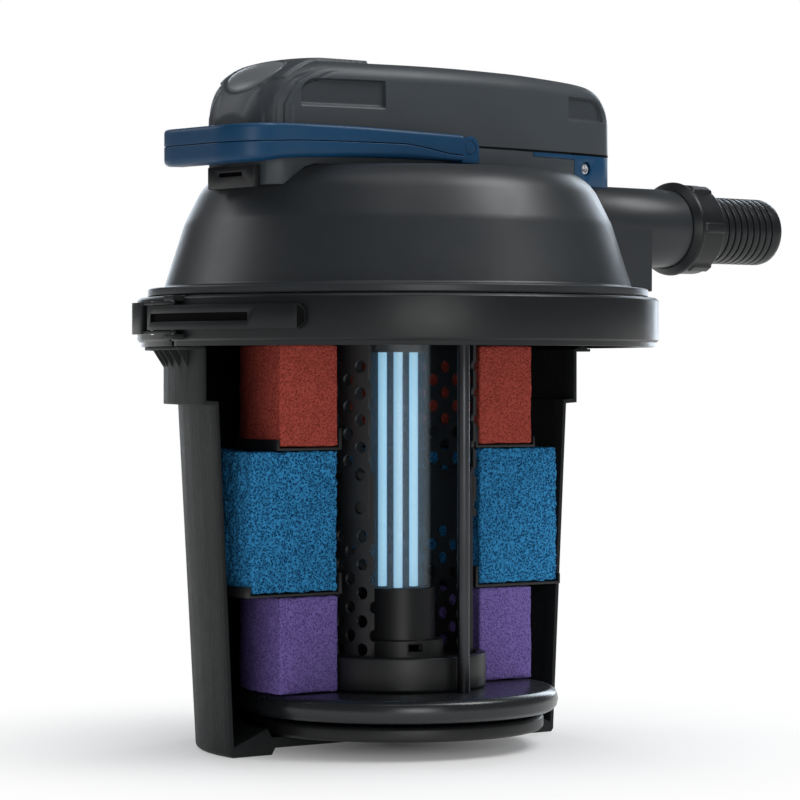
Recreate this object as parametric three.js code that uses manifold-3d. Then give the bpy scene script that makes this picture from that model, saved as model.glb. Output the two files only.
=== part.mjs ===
// Canister filter for a garden pond, with the front of its tank cut away to show
// the three foams, the perforated centre tube and the lamp.
// Millimetres, +Z up. The outlet points along +X and the open side faces -Y.

import * as THREE from 'three';
import { mergeVertices } from 'three/addons/utils/BufferGeometryUtils.js';
import Module from 'manifold-3d';

const wasm = await Module();
wasm.setup();

// ---------------------------------------------------------------- sizes

const GAP = 0.3;                 // clearance between pieces that only rest or turn on each other
const TURN = Math.PI / 180;

// tank
const TANK_FOOT_R = 151.5;
const TANK_SHOULDER_R = 164.7;
const TANK_WALL = 3;
const TANK_SHOULDER_Z = 255;
const COLLAR_R = 175.5;
const COLLAR_TOP_Z = 295.3;
const LIP_R = 189.4;
const LIP_THICK = 2.2;
const RIM_IN_R = 180;
const RIM_OUT_R = 186;
const RIM_TOP_Z = 334.7;
const FLOOR_Z = 12.7;
const FOOT_RING_IN_R = 115;
const FOOT_RECESS = 5;
const CUT_TURN = -4 * TURN;      // the plane of the cut, turned from +X about the tank's axis
const GUSSET_PITCH = 5 * TURN;
const GUSSET_THICK = 1.4;
const GUSSET_H = 13;
const GUSSET_BACK = 5.5;

// clamp band and its lever
const BAND_CLEAR = 1.6;
const BAND_WALL = 7.4;
const BAND_LIP_WALL = 4.4;
const BAND_TOP_DROP = 0.7;
const BAND_LIP_H = 3.5;
const BAND_GAP_AT = 171.4 * TURN;
const BAND_GAP = 4;
const LEVER_THICK = 8.4;
const LEVER_Z = 309.3;
const LEVER_H = 17.4;
const LEVER_START = 165.5 * TURN;
const LEVER_END = 210 * TURN;
const LEVER_OFF = 0.6;
const LEVER_CORNER = 3;
const LINK_ARM = 2.2;
const LINK_ARM_CLEAR = 0.6;
const LINK_PIVOT_AT = 175.5 * TURN;
const LINK_BLOCK_FROM = 157.5 * TURN;
const LINK_BLOCK_TO = 163.3 * TURN;
const LUG_H = 4;
const SMALL_PIN_R = 1.6;
const PIN_CLEAR = 0.25;

// lid
const LID_FLANGE_OVER = 1;
const LID_FLANGE_H = 6;
const LID_SKIRT_CLEAR = 4;
const LID_SKIRT_WALL = 4;
const LID_SKIRT_Z = 306;
const LID_BASE_R = 175;
const LID_TOP_Z = 428;
const LID_WALL = 3;

// outlet
const OUTLET_Z = 395;
const PIPE_R = 31.3;
const PIPE_BORE_R = 24;
const PIPE_START_X = 100;
const PIPE_END_X = 310;
const PIPE_BORE_START_X = 130;
const SADDLE_DROP = 52;
const SADDLE_END_X = 240;
const SADDLE_HALF = 31;
const NUT_START_X = 285;
const NUT_R = 38;
const NUT_END_X = 323;
const NUT_RIBS = 6;
const NUT_RIB_W = 7;
const NUT_RIB_H = 1.2;
const SEAL_THICK = 2.4;
const TAIL_COLLAR = 4.7;
const TAIL_R = 27.1;
const TAIL_BORE_R = 22;
const TAIL_END_X = 397;
const TAIL_GROOVES = 9;
const TAIL_PITCH = 7.27;
const TAIL_GROOVE_X = 324.4;
const TAIL_GROOVE_DEPTH = 1.3;

// head
const HEAD_NOSE_X = -160;
const HEAD_REAR_X = 177;
const BRACKET_REAR_X = 179;
const HEAD_SPLIT_Z = 444.5;
const HEAD_SLIT = 1.5;
const HEAD_WALL = 3;
const HEAD_EDGE = 15;
const BRACKET_H = 23;
const BALLAST_START_X = 42;
const BALLAST_END_X = 118;
const BALLAST_HALF = 32;
const BALLAST_H = 34;
const SKIRT_Z = 411;
const RECESS_DEPTH = 1.8;
const PAD_H = 2.6;

// pull handle, rods and the stack they lift
const ROD_R = 4.5;
const ROD_CLEAR = 0.4;
const ROD_Y = 73.2;
const PIVOT_Z = 443;
const PIVOT_PIN_R = 5.1;
const EAR_OUT_Y = 81;
const EAR_IN_Y = 68.7;
const EAR_W = 17.4;
const EAR_Z = 432;
const EAR_SLOT_IN = 72.6;
const EAR_SLOT_OUT = 77.4;
const TONGUE_THICK = 4;

// centre tube, lamp
const CAGE_R = 59;
const CAGE_WALL = 2.3;
const CAGE_SLIDE = 0.3;
const CAGE_HOLE = 9.4;
const CAGE_ROW = 19.8;
const CAGE_LOWER_ROW = 20.8;
const CAGE_TOP_ROW = 17.8;
const CAGE_LOWER_TOP_ROW = 46.8;
const CAGE_ODD_ROW = 4.9;
const CAGE_COLUMNS = 34;
const CAGE_CUT = 30.5;
const CAGE_UPPER_Z = 171;
const CAGE_LOWER_TOP_Z = 205;
const QUARTZ_R = 24.5;
const QUARTZ_WALL = 1.5;
const QUARTZ_CLEAR = 0.5;
const QUARTZ_Z = 110;
const QUARTZ_TOP_Z = 440;
const LAMP_R = 20;
const LAMP_WALL = 1.2;
const LAMP_TUBE_R = 3.4;
const LAMP_TUBE_ORBIT_R = 13.5;
const LAMP_TOP_Z = 294;

// foams and spacers
const FOAM_BORE_R = 67.5;
const FOAM_CUT = 15;
const FOAM_SMALL_R = 119;
const FOAM_LARGE_R = 144;
const FOAM_CLEAR = 0.3;
const PLATE_TOP_Z = 44;          // top of the base plate
const LOWER_SPACER_Z = 116;
const UPPER_SPACER_Z = 222;
const SPACER_THICK = 2;
const SPACER_RIM = 8;
const SPACER_COLLAR = 16;
const TOP_PLATE_Z = 301;
const WATER_HOLES = 8;
const WATER_HOLE_R = 5;
const WATER_ORBIT_R = 37;
const CUP_R = 66;
const CUP_CLEAR = 0.8;
const FLANGE_SINK = 3.3;
const FLANGE_THICK = 4;
const CUP_TOP_Z = 70;
const CUP_FLOOR = 5;
const SLEEVE_IN_R = 25.2;
const SLEEVE_R = 27.7;
const SLEEVE_TOP_Z = 118.3;
const BASE_PLATE_R = 120;
const BASE_PLATE_H = 17;
const LOWER_DISC_R = 109;
const LOWER_DISC_H = 11;

// derived
const LIP_TOP_Z = COLLAR_TOP_Z + LIP_THICK;
const BAND_IN_R = RIM_OUT_R + BAND_CLEAR;
const BAND_R = BAND_IN_R + BAND_WALL;
const BAND_LIP_R = BAND_IN_R + BAND_LIP_WALL;
const BAND_TOP_Z = RIM_TOP_Z - BAND_TOP_DROP;
const BAND_Z = LIP_TOP_Z + GAP;
const LEVER_IN_R = BAND_R + LEVER_OFF;
const LEVER_OUT_R = LEVER_IN_R + LEVER_THICK;
const LEVER_MID_R = (LEVER_IN_R + LEVER_OUT_R) / 2;
const LEVER_TOP_Z = LEVER_Z + LEVER_H;
const LINK_LOW_Z = LEVER_Z - LINK_ARM_CLEAR - LINK_ARM;
const LINK_TOP_Z = LEVER_TOP_Z + LINK_ARM_CLEAR + LINK_ARM;
const LID_FLANGE_Z = RIM_TOP_Z + GAP;
const LID_FLANGE_R = RIM_OUT_R + LID_FLANGE_OVER;
const LID_SKIRT_R = RIM_IN_R - LID_SKIRT_CLEAR;
const THROUGH_LOW_Z = LID_SKIRT_Z - 16;      // where holes through the lid and the top plate begin
const THROUGH_TOP_Z = LID_TOP_Z + 32;
const HEAD_BASE_Z = LID_TOP_Z + GAP;
const HEAD_COVER_Z = HEAD_SPLIT_Z + HEAD_SLIT;
const ROUND = 56;

// ---------------------------------------------------------------- helpers

// A welded closed body whose faces point outwards.
function bodyOf(geometry) {
  const plain = geometry.clone();
  plain.deleteAttribute('normal');
  plain.deleteAttribute('uv');
  const welded = mergeVertices(plain, 1e-4);
  const at = welded.getAttribute('position');
  const index = welded.index.array;
  const kept = [];
  let volume = 0;
  const a = new THREE.Vector3();
  const b = new THREE.Vector3();
  const c = new THREE.Vector3();
  for (let i = 0; i < index.length; i += 3) {
    const [p, q, r] = [index[i], index[i + 1], index[i + 2]];
    if (p === q || q === r || r === p) continue;
    kept.push(p, q, r);
    a.fromBufferAttribute(at, p);
    b.fromBufferAttribute(at, q);
    c.fromBufferAttribute(at, r);
    volume += a.dot(b.cross(c));
  }
  if (volume < 0) kept.reverse();
  const mesh = new wasm.Mesh({
    numProp: 3,
    vertProperties: new Float32Array(at.array),
    triVerts: new Uint32Array(kept),
  });
  mesh.merge();
  return new wasm.Manifold(mesh);
}

function geometryOf(body) {
  const mesh = body.getMesh();
  const geometry = new THREE.BufferGeometry();
  geometry.setAttribute('position', new THREE.BufferAttribute(Float32Array.from(mesh.vertProperties), 3));
  geometry.setIndex(new THREE.BufferAttribute(Uint32Array.from(mesh.triVerts), 1));
  return geometry;
}

function combined(how, first, others) {
  let body = bodyOf(first);
  for (const other of others) body = body[how](bodyOf(other));
  return geometryOf(body);
}

const join = (first, ...others) => combined('add', first, others);
const cut = (first, ...others) => combined('subtract', first, others);
const meet = (first, ...others) => combined('intersect', first, others);

// Turned about +Z; the profile is a list of [radius, z].
function turned(profile, around = ROUND) {
  const points = profile.map(([r, z]) => new THREE.Vector2(r, z));
  if (profile[0][0] > 0) points.push(points[0].clone());
  const geometry = new THREE.LatheGeometry(points, around);
  geometry.rotateX(Math.PI / 2);
  return geometry;
}

function tube(outer, inner, low, high, around = ROUND) {
  return turned([[inner, low], [outer, low], [outer, high], [inner, high]], around);
}

function rod(radius, low, high, around = 16) {
  return turned([[0, low], [radius, low], [radius, high], [0, high]], around);
}

function boxed(x0, x1, y0, y1, z0, z1) {
  const geometry = new THREE.BoxGeometry(x1 - x0, y1 - y0, z1 - z0);
  geometry.translate((x0 + x1) / 2, (y0 + y1) / 2, (z0 + z1) / 2);
  return geometry;
}

// A flat outline of [x, y] points raised from low to high.
function raised(outline, low, high) {
  const shape = new THREE.Shape(outline.map(([x, y]) => new THREE.Vector2(x, y)));
  const geometry = new THREE.ExtrudeGeometry(shape, { depth: high - low, bevelEnabled: false, steps: 1 });
  geometry.translate(0, 0, low);
  return geometry;
}

const polar = (r, angle) => [r * Math.cos(angle), r * Math.sin(angle)];

// A curved bar about the tank's axis.
function sector(inner, outer, from, to, low, high, steps = 12) {
  const outline = [];
  for (let i = 0; i <= steps; i += 1) outline.push(polar(outer, from + (to - from) * i / steps));
  for (let i = steps; i >= 0; i -= 1) outline.push(polar(inner, from + (to - from) * i / steps));
  return raised(outline, low, high);
}

function moved(geometry, x, y, z) {
  geometry.translate(x, y, z);
  return geometry;
}

// Turns a geometry made about +Z so that it lies along +X or along +Y.
const alongX = (geometry) => geometry.rotateY(Math.PI / 2);
const alongY = (geometry) => geometry.rotateX(-Math.PI / 2);

// Everything in front of the cut plane, or of a plane that lies nearer to the viewer.
function inFront(nearer) {
  const geometry = boxed(-400, 400, -500, -nearer, -50, 700);
  geometry.rotateZ(CUT_TURN);
  return geometry;
}

const group = new THREE.Group();
group.name = 'canister_filter';

function part(name, geometry, color, roughness, metalness = 0, extra = {}) {
  const solid = geometryOf(bodyOf(geometry));
  const flat = solid.toNonIndexed();
  flat.computeVertexNormals();
  const material = new THREE.MeshStandardMaterial({ color, roughness, metalness, ...extra });
  const mesh = new THREE.Mesh(flat, material);
  mesh.name = name;
  group.add(mesh);
  return mesh;
}

// ---------------------------------------------------------------- tank

const tankInR = (z) => TANK_FOOT_R - TANK_WALL + (TANK_SHOULDER_R - TANK_FOOT_R) * z / TANK_SHOULDER_Z;

const tankWhole = turned([
  [0, FOOT_RECESS],
  [FOOT_RING_IN_R - 3, FOOT_RECESS],
  [FOOT_RING_IN_R, 0],
  [TANK_FOOT_R - 2, 0],
  [TANK_FOOT_R, 2],
  [TANK_SHOULDER_R, TANK_SHOULDER_Z],
  [COLLAR_R, TANK_SHOULDER_Z + 0.6],
  [COLLAR_R, COLLAR_TOP_Z],
  [LIP_R, COLLAR_TOP_Z],
  [LIP_R, LIP_TOP_Z],
  [RIM_OUT_R, LIP_TOP_Z],
  [RIM_OUT_R, RIM_TOP_Z],
  [RIM_IN_R, RIM_TOP_Z],
  [RIM_IN_R, LIP_TOP_Z + 2],
  [COLLAR_R - TANK_WALL, LIP_TOP_Z - 0.5],
  [COLLAR_R - TANK_WALL, TANK_SHOULDER_Z + 0.6 + TANK_WALL],
  [TANK_SHOULDER_R - TANK_WALL, TANK_SHOULDER_Z + TANK_WALL],
  [tankInR(7.7) - 0.4, 7.7],
  [FOOT_RING_IN_R + 4, 19.5],
  [FOOT_RING_IN_R, FLOOR_Z],
  [0, FLOOR_Z],
]);

// Thin ribs under the lip, each leaning out from the collar.
const gussets = [];
for (let i = 0; i < 34; i += 1) {
  const rib = raised([[0, -GUSSET_H], [LIP_R - COLLAR_R - GUSSET_BACK, 0.4], [0, 0.4]], -GUSSET_THICK / 2, GUSSET_THICK / 2);
  rib.rotateX(Math.PI / 2);
  rib.translate(COLLAR_R - 0.4, 0, COLLAR_TOP_Z);
  rib.rotateZ(CUT_TURN + 7.5 * TURN + i * GUSSET_PITCH);
  gussets.push(rib);
}

part('tank', cut(join(tankWhole, ...gussets), inFront(0)), 0x33373a, 0.42);

// ---------------------------------------------------------------- clamp band, lever and link

const bandBottomZ = BAND_Z;
let band = turned([
  [BAND_IN_R, bandBottomZ],
  [BAND_LIP_R, bandBottomZ],
  [BAND_LIP_R, bandBottomZ + BAND_LIP_H],
  [BAND_R - 1.5, bandBottomZ + BAND_LIP_H],
  [BAND_R, bandBottomZ + BAND_LIP_H + 1.5],
  [BAND_R, BAND_TOP_Z - 2],
  [BAND_R - 2, BAND_TOP_Z],
  [BAND_IN_R, BAND_TOP_Z],
]);
const bandGap = boxed(BAND_IN_R - 8, BAND_R + 8, -BAND_GAP / 2, BAND_GAP / 2, bandBottomZ - 5, BAND_TOP_Z + 5);
bandGap.rotateZ(BAND_GAP_AT);

const linkPivot = polar(LEVER_MID_R, LINK_PIVOT_AT);
const leverPivotAt = LEVER_START + (LEVER_THICK / 2) / LEVER_MID_R;
const leverPivot = polar(LEVER_MID_R, leverPivotAt);
const lugHalf = 1.6 * TURN;
const lugs = [
  [LINK_TOP_Z + GAP, LINK_TOP_Z + GAP + LUG_H],
  [LINK_LOW_Z - GAP - LUG_H, LINK_LOW_Z - GAP],
].map(([low, high]) => sector(
  BAND_R - 3, LEVER_OUT_R - 0.4, LINK_PIVOT_AT - lugHalf, LINK_PIVOT_AT + lugHalf, low, high, 3));
const pinHole = (radius, at, low, high) => moved(rod(radius + PIN_CLEAR, low, high, 10), at[0], at[1], 0);
band = cut(
  join(band, ...lugs), bandGap,
  pinHole(SMALL_PIN_R, linkPivot, LINK_LOW_Z - GAP - LUG_H - 1, LINK_TOP_Z + GAP + LUG_H + 1));
part('clamp_band', band, 0x25282b, 0.4);

let lever = sector(LEVER_IN_R, LEVER_OUT_R, leverPivotAt, LEVER_END, LEVER_Z, LEVER_TOP_Z, 18);
const leverHead = moved(rod(LEVER_THICK / 2, LEVER_Z, LEVER_TOP_Z, 20), leverPivot[0], leverPivot[1], 0);
const leverGroove = sector(
  LEVER_OUT_R - 2, LEVER_OUT_R + 4, LEVER_START + 2.6 * TURN, LEVER_END - 12 * TURN,
  LEVER_Z + 5.7, LEVER_Z + 11.7, 14);
const tip = polar(LEVER_OUT_R, LEVER_END);
const leverTipCut = boxed(-2.8, 8, -9, 9, LEVER_Z - 1, LEVER_TOP_Z + 1);
leverTipCut.rotateZ(LEVER_END + 45 * TURN);
leverTipCut.translate(tip[0], tip[1], 0);
const leverMidTip = polar(LEVER_MID_R, LEVER_END);
const leverCorners = [LEVER_Z, LEVER_TOP_Z].map((z) => {
  const bar = boxed(-20, 20, -LEVER_CORNER, LEVER_CORNER, -LEVER_CORNER, LEVER_CORNER);
  bar.rotateX(45 * TURN);
  bar.rotateZ(LEVER_END);
  return moved(bar, leverMidTip[0], leverMidTip[1], z);
});
lever = cut(
  join(lever, leverHead), leverGroove, leverTipCut, ...leverCorners,
  pinHole(SMALL_PIN_R, leverPivot, LEVER_Z - 1, LEVER_TOP_Z + 1));
part('clamp_lever', lever, 0x2b2e31, 0.38);

const linkOutR = LEVER_OUT_R + 0.8;
const linkBlock = sector(
  LEVER_IN_R, linkOutR, LINK_BLOCK_FROM, LINK_BLOCK_TO, LINK_LOW_Z, LINK_TOP_Z, 3);
const armHalf = 3.4;
const linkArms = [LINK_LOW_Z, LEVER_TOP_Z + LINK_ARM_CLEAR].map((low) => join(
  sector(LEVER_MID_R - armHalf, LEVER_MID_R + armHalf, LINK_BLOCK_TO - 1 * TURN, LINK_PIVOT_AT,
    low, low + LINK_ARM, 6),
  moved(rod(armHalf, low, low + LINK_ARM, 12), linkPivot[0], linkPivot[1], 0)));
const link = cut(
  join(linkBlock, ...linkArms),
  pinHole(SMALL_PIN_R, linkPivot, LINK_LOW_Z - 1, LINK_TOP_Z + 1),
  pinHole(SMALL_PIN_R, leverPivot, LINK_LOW_Z - 1, LINK_TOP_Z + 1));
part('clamp_link', link, 0x2b2e31, 0.38);

const leverPin = part('lever_pin', rod(SMALL_PIN_R, LINK_LOW_Z - 0.6, LINK_TOP_Z + 0.6, 10), 0x9a9da0, 0.3, 0.9);
leverPin.position.set(leverPivot[0], leverPivot[1], 0);
const pinLength = LINK_ARM + LINK_ARM_CLEAR / 2 + GAP + LUG_H;
const upperLinkPin = part('link_pin_upper', rod(SMALL_PIN_R, 0, pinLength, 10), 0x9a9da0, 0.3, 0.9);
upperLinkPin.position.set(linkPivot[0], linkPivot[1], LEVER_TOP_Z + LINK_ARM_CLEAR / 2);
const lowerLinkPin = part('link_pin_lower', rod(SMALL_PIN_R, -pinLength, 0, 10), 0x9a9da0, 0.3, 0.9);
lowerLinkPin.position.set(linkPivot[0], linkPivot[1], LEVER_Z - LINK_ARM_CLEAR / 2);

// ---------------------------------------------------------------- lid with the outlet pipe

const domeOuter = [
  [128, LID_TOP_Z],
  [134, LID_TOP_Z - 2.5],
  [143, LID_TOP_Z - 10],
  [151, LID_TOP_Z - 18],
  [160, LID_TOP_Z - 39],
  [LID_BASE_R, LID_FLANGE_Z + LID_FLANGE_H],
];
const domeInner = [
  [LID_SKIRT_R - LID_SKIRT_WALL, LID_FLANGE_Z + LID_FLANGE_H - 1],
  [160 - LID_WALL, LID_TOP_Z - 40],
  [151 - LID_WALL, LID_TOP_Z - 19.5],
  [143 - LID_WALL, LID_TOP_Z - 12],
  [128, LID_TOP_Z - LID_WALL - 0.5],
];
const shell = turned([
  [0, LID_TOP_Z],
  ...domeOuter,
  [LID_FLANGE_R, LID_FLANGE_Z + LID_FLANGE_H],
  [LID_FLANGE_R, LID_FLANGE_Z],
  [LID_SKIRT_R, LID_FLANGE_Z],
  [LID_SKIRT_R, LID_SKIRT_Z],
  [LID_SKIRT_R - LID_SKIRT_WALL, LID_SKIRT_Z],
  ...domeInner,
  [0, LID_TOP_Z - LID_WALL - 0.5],
]);
const domeFilled = turned([[0, LID_TOP_Z - 0.2], ...domeOuter.map(([r, z]) => [r - 0.5, z - 0.2]),
  [0, LID_FLANGE_Z + LID_FLANGE_H - 0.2]]);
// The space that pieces resting on the shoulder have to keep clear of.
const domeClear = turned([
  [0, LID_TOP_Z + GAP], [128, LID_TOP_Z + GAP], ...domeOuter.slice(1).map(([r, z]) => [r + 0.6, z + 0.4]),
  [0, LID_FLANGE_Z + LID_FLANGE_H]]);

const saddleZ = OUTLET_Z - SADDLE_DROP;
const pipeOuter = alongX(rod(PIPE_R, PIPE_START_X, PIPE_END_X, 32));
pipeOuter.translate(0, 0, OUTLET_Z);
const saddle = boxed(PIPE_START_X, SADDLE_END_X, -SADDLE_HALF, SADDLE_HALF, saddleZ, OUTLET_Z);
const branch = cut(join(pipeOuter, saddle), domeFilled);
const pipeBore = alongX(rod(PIPE_BORE_R, PIPE_BORE_START_X, PIPE_END_X + 5, 24));
pipeBore.translate(0, 0, OUTLET_Z);
const rodHoles = [-1, 1].map((side) => moved(
  rod(ROD_R + ROD_CLEAR, THROUGH_LOW_Z, THROUGH_TOP_Z), 0, side * ROD_Y, 0));
const lampHole = rod(QUARTZ_R + QUARTZ_CLEAR, THROUGH_LOW_Z, THROUGH_TOP_Z, 24);
part('lid', cut(join(shell, branch), pipeBore, lampHole, ...rodHoles), 0x34383b, 0.36);

const gasketZ = LID_FLANGE_Z - 9;
part('lid_gasket', tube(RIM_IN_R - GAP, LID_SKIRT_R + GAP, gasketZ, gasketZ + 4), 0x17181a, 0.8);

// ---------------------------------------------------------------- outlet union and hose tail

const nutBore = PIPE_R + GAP;
const nutLipX = NUT_END_X - 7;
const nutProfile = [
  [nutBore, NUT_START_X],
  [NUT_R, NUT_START_X + 6.8],
  [NUT_R - 2, NUT_END_X - 5],
  [TAIL_R + 1.2, NUT_END_X],
  [TAIL_R + GAP + 0.1, NUT_END_X],
  [TAIL_R + GAP + 0.1, nutLipX],
  [nutBore, nutLipX],
];
const nutRibs = [];
for (let i = 0; i < NUT_RIBS; i += 1) {
  const rib = boxed(NUT_R - 4, NUT_R + NUT_RIB_H, -NUT_RIB_W / 2, NUT_RIB_W / 2,
    NUT_START_X + 7, NUT_END_X - 6.5);
  rib.rotateZ(i * 2 * Math.PI / NUT_RIBS + Math.PI / 2);
  nutRibs.push(rib);
}
const nutBody = join(turned(nutProfile, 32), ...nutRibs);
const unionNut = part('union_nut', alongX(nutBody), 0x3a3d40, 0.4);
unionNut.position.z = OUTLET_Z;

const sealX = PIPE_END_X + GAP;
const seal = part('outlet_seal', alongX(tube(PIPE_R - 1.5, TAIL_BORE_R + 2, 0, SEAL_THICK, 24)), 0x17181a, 0.8);
seal.position.set(sealX, 0, OUTLET_Z);

const tailX = sealX + SEAL_THICK + GAP;
const tailProfile = [
  [TAIL_BORE_R, tailX],
  [PIPE_R - 0.5, tailX],
  [PIPE_R - 0.5, nutLipX - GAP],
  [TAIL_R, nutLipX - GAP],
];
for (let i = 0; i < TAIL_GROOVES; i += 1) {
  const start = TAIL_GROOVE_X + i * TAIL_PITCH;
  tailProfile.push([TAIL_R, start]);
  tailProfile.push([TAIL_R - TAIL_GROOVE_DEPTH, start + TAIL_PITCH * 0.2]);
}
tailProfile.push([TAIL_R, TAIL_END_X - 2.5]);
tailProfile.push([TAIL_R - 2.5, TAIL_END_X]);
tailProfile.push([TAIL_BORE_R, TAIL_END_X]);
const tail = part('hose_tail', alongX(turned(tailProfile, 24)), 0x34373a, 0.42);
tail.position.z = OUTLET_Z;

// ---------------------------------------------------------------- head

// Half width of the head at stations along X, and the height of its top.
const headPlan = [
  [HEAD_NOSE_X, 18], [-157.5, 26], [-153, 33.5], [-146, 39.5], [-139, 42.3], [-133, 43.5], [-100, 51],
  [-60, 59], [-20, 64.5], [20, 66], [60, 65.5], [100, 62.5], [140, 58.5], [160, 55], [170, 51], [176, 45],
  [BRACKET_REAR_X, 41],
];
const headTop = [
  [HEAD_NOSE_X, 463], [-155, 477.5], [-150, 485.5], [-145.5, 491], [-136, 498.5], [-126, 502.3], [-107, 504],
  [-60, 504.3], [0, 504.6], [60, 504], [117, 501.5], [147, 498.5], [158, 495], [166, 489.5], [171, 483],
  [174.5, 474], [HEAD_REAR_X, 462],
];

function sample(list, x) {
  if (x <= list[0][0]) return list[0][1];
  for (let i = 1; i < list.length; i += 1) {
    if (x <= list[i][0]) {
      const [x0, y0] = list[i - 1];
      const [x1, y1] = list[i];
      return y0 + (y1 - y0) * (x - x0) / (x1 - x0);
    }
  }
  return list[list.length - 1][1];
}

function stations(from, to) {
  const inner = [...headPlan, ...headTop].map(([x]) => x).filter((x) => x > from + 1 && x < to - 1);
  return [from, ...new Set(inner), to].sort((a, b) => a - b);
}

function planOutline(from, to, inset = 0) {
  const xs = [from, ...headPlan.map(([x]) => x).filter((x) => x > from + 0.5 && x < to - 0.5), to];
  const near = xs.map((x) => [x, -sample(headPlan, x) + inset]);
  const far = xs.map((x) => [x, sample(headPlan, x) - inset]).reverse();
  return [...near, ...far];
}

// The head's upper body between two stations, its sides and top moved in by inset.
function headLoft(from, to, inset, bottom) {
  const xs = stations(from, to);
  const points = [];
  for (const x of xs) {
    const half = sample(headPlan, x) - inset;
    const top = sample(headTop, x) - inset;
    const edge = Math.min(HEAD_EDGE, half * 0.6, (top - bottom) * 0.6);
    const side = [[half, bottom], [half, top - edge], [half - 0.3 * edge, top - 0.3 * edge], [half - edge, top]];
    for (const [y, z] of side) points.push([x, y, z]);
    for (const [y, z] of side.reverse()) points.push([x, -y, z]);
  }
  return skinned(points, xs.length, 8);
}

// Rings of equal length joined one after another, with flat ends.
function skinned(points, rings, each) {
  const index = [];
  for (let s = 0; s < rings - 1; s += 1) {
    for (let i = 0; i < each; i += 1) {
      const a = s * each + i;
      const b = s * each + (i + 1) % each;
      index.push(a, b, b + each, a, b + each, a + each);
    }
  }
  const last = (rings - 1) * each;
  for (let i = 1; i < each - 1; i += 1) {
    index.push(0, i + 1, i);
    index.push(last, last + i, last + i + 1);
  }
  const geometry = new THREE.BufferGeometry();
  geometry.setAttribute('position', new THREE.BufferAttribute(new Float32Array(points.flat()), 3));
  geometry.setIndex(index);
  return geometry;
}

// A pocket of even depth in both sides of the head, from an outline in X and Z.
function sidePocket(outline) {
  const slab = raised(outline, -100, 100);
  slab.rotateX(Math.PI / 2);
  return cut(slab, headLoft(HEAD_NOSE_X + 2, HEAD_REAR_X, RECESS_DEPTH, HEAD_COVER_Z - 20));
}

const noseUndercutX = -146;
const noseUndercutZ = 461;
const windowAt = [-137, 494];
const windowSlope = 38 * TURN;
const windowHalf = [21, 27];
const LENS_THICK = 1.8;

// An upright oval prism over the window, square to the nose's slope.
function windowPrism(grow, low, high) {
  const outline = [];
  for (let i = 0; i < 28; i += 1) {
    const angle = i * 2 * Math.PI / 28;
    outline.push([(windowHalf[0] + grow) * Math.cos(angle), (windowHalf[1] + grow) * Math.sin(angle)]);
  }
  const plate = raised(outline, low, high);
  plate.rotateY(-windowSlope);
  plate.translate(windowAt[0], 0, windowAt[1]);
  return plate;
}

const leftPocket = [[-129.5, 469], [-62, 469], [-62, 490], [-116, 490], [-124, 487.5], [-129, 480]];
const rightPocket = [[119.7, 469.7], [161.5, 469.7], [159.5, 479], [152, 486.5], [146, 489], [119.7, 489]];
const coverOuter = headLoft(HEAD_NOSE_X, HEAD_REAR_X, 0, HEAD_COVER_Z);
const coverHollow = headLoft(-130, HEAD_REAR_X - 8, HEAD_WALL, HEAD_COVER_Z - 10);
const topPad = meet(
  headLoft(-118, -58, -PAD_H, HEAD_COVER_Z),
  raised([[-118, -26], [-106, -30], [-61, -35], [-58, -32], [-58, 32], [-61, 35], [-106, 30], [-118, 26]], 495, 520));
const windowPocket = cut(
  windowPrism(GAP, -16, 16), headLoft(HEAD_NOSE_X + 2, -90, LENS_THICK + GAP, HEAD_COVER_Z - 20));
part('head_cover', cut(
  join(coverOuter, topPad), coverHollow,
  boxed(-200, noseUndercutX, -60, 60, HEAD_COVER_Z - 5, noseUndercutZ),
  sidePocket(leftPocket), sidePocket(rightPocket), windowPocket), 0x5a5f63, 0.34);
part('window_lens', cut(
  meet(windowPrism(0, -16, 16), headLoft(HEAD_NOSE_X + 0.3, -90, 0.2, HEAD_COVER_Z)),
  headLoft(HEAD_NOSE_X + 2, -90, LENS_THICK, HEAD_COVER_Z - 20)), 0xa3a7a8, 0.12);

const bracketX = 126;
const tongueX = 79;
const tongueLow = 441.2;
const tongueThick = 1.6;
const baseNoseX = -153;
const baseBody = raised(planOutline(baseNoseX, bracketX - GAP), SKIRT_Z + 2, HEAD_SPLIT_Z);
// A narrow rim that carries the cover and leaves the slit between the two.
const seatRim = cut(
  raised(planOutline(-140, bracketX - 2, 1.2), HEAD_SPLIT_Z - 1, HEAD_COVER_Z),
  raised(planOutline(-138, bracketX - 4, 2.8), HEAD_SPLIT_Z - 2, HEAD_COVER_Z + 2));
const rebate = cut(
  boxed(tongueX - GAP, bracketX + 5, -80, 80, tongueLow - GAP, HEAD_COVER_Z + 1),
  raised(planOutline(tongueX - 20, bracketX + 10, tongueThick + GAP), tongueLow - 5, HEAD_SPLIT_Z + 5));
const baseWell = rod(34, LID_TOP_Z - 5, HEAD_SPLIT_Z + 5, 24);
part('head_base', cut(join(baseBody, seatRim), domeClear, rebate, baseWell), 0x4b5054, 0.36);

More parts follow.
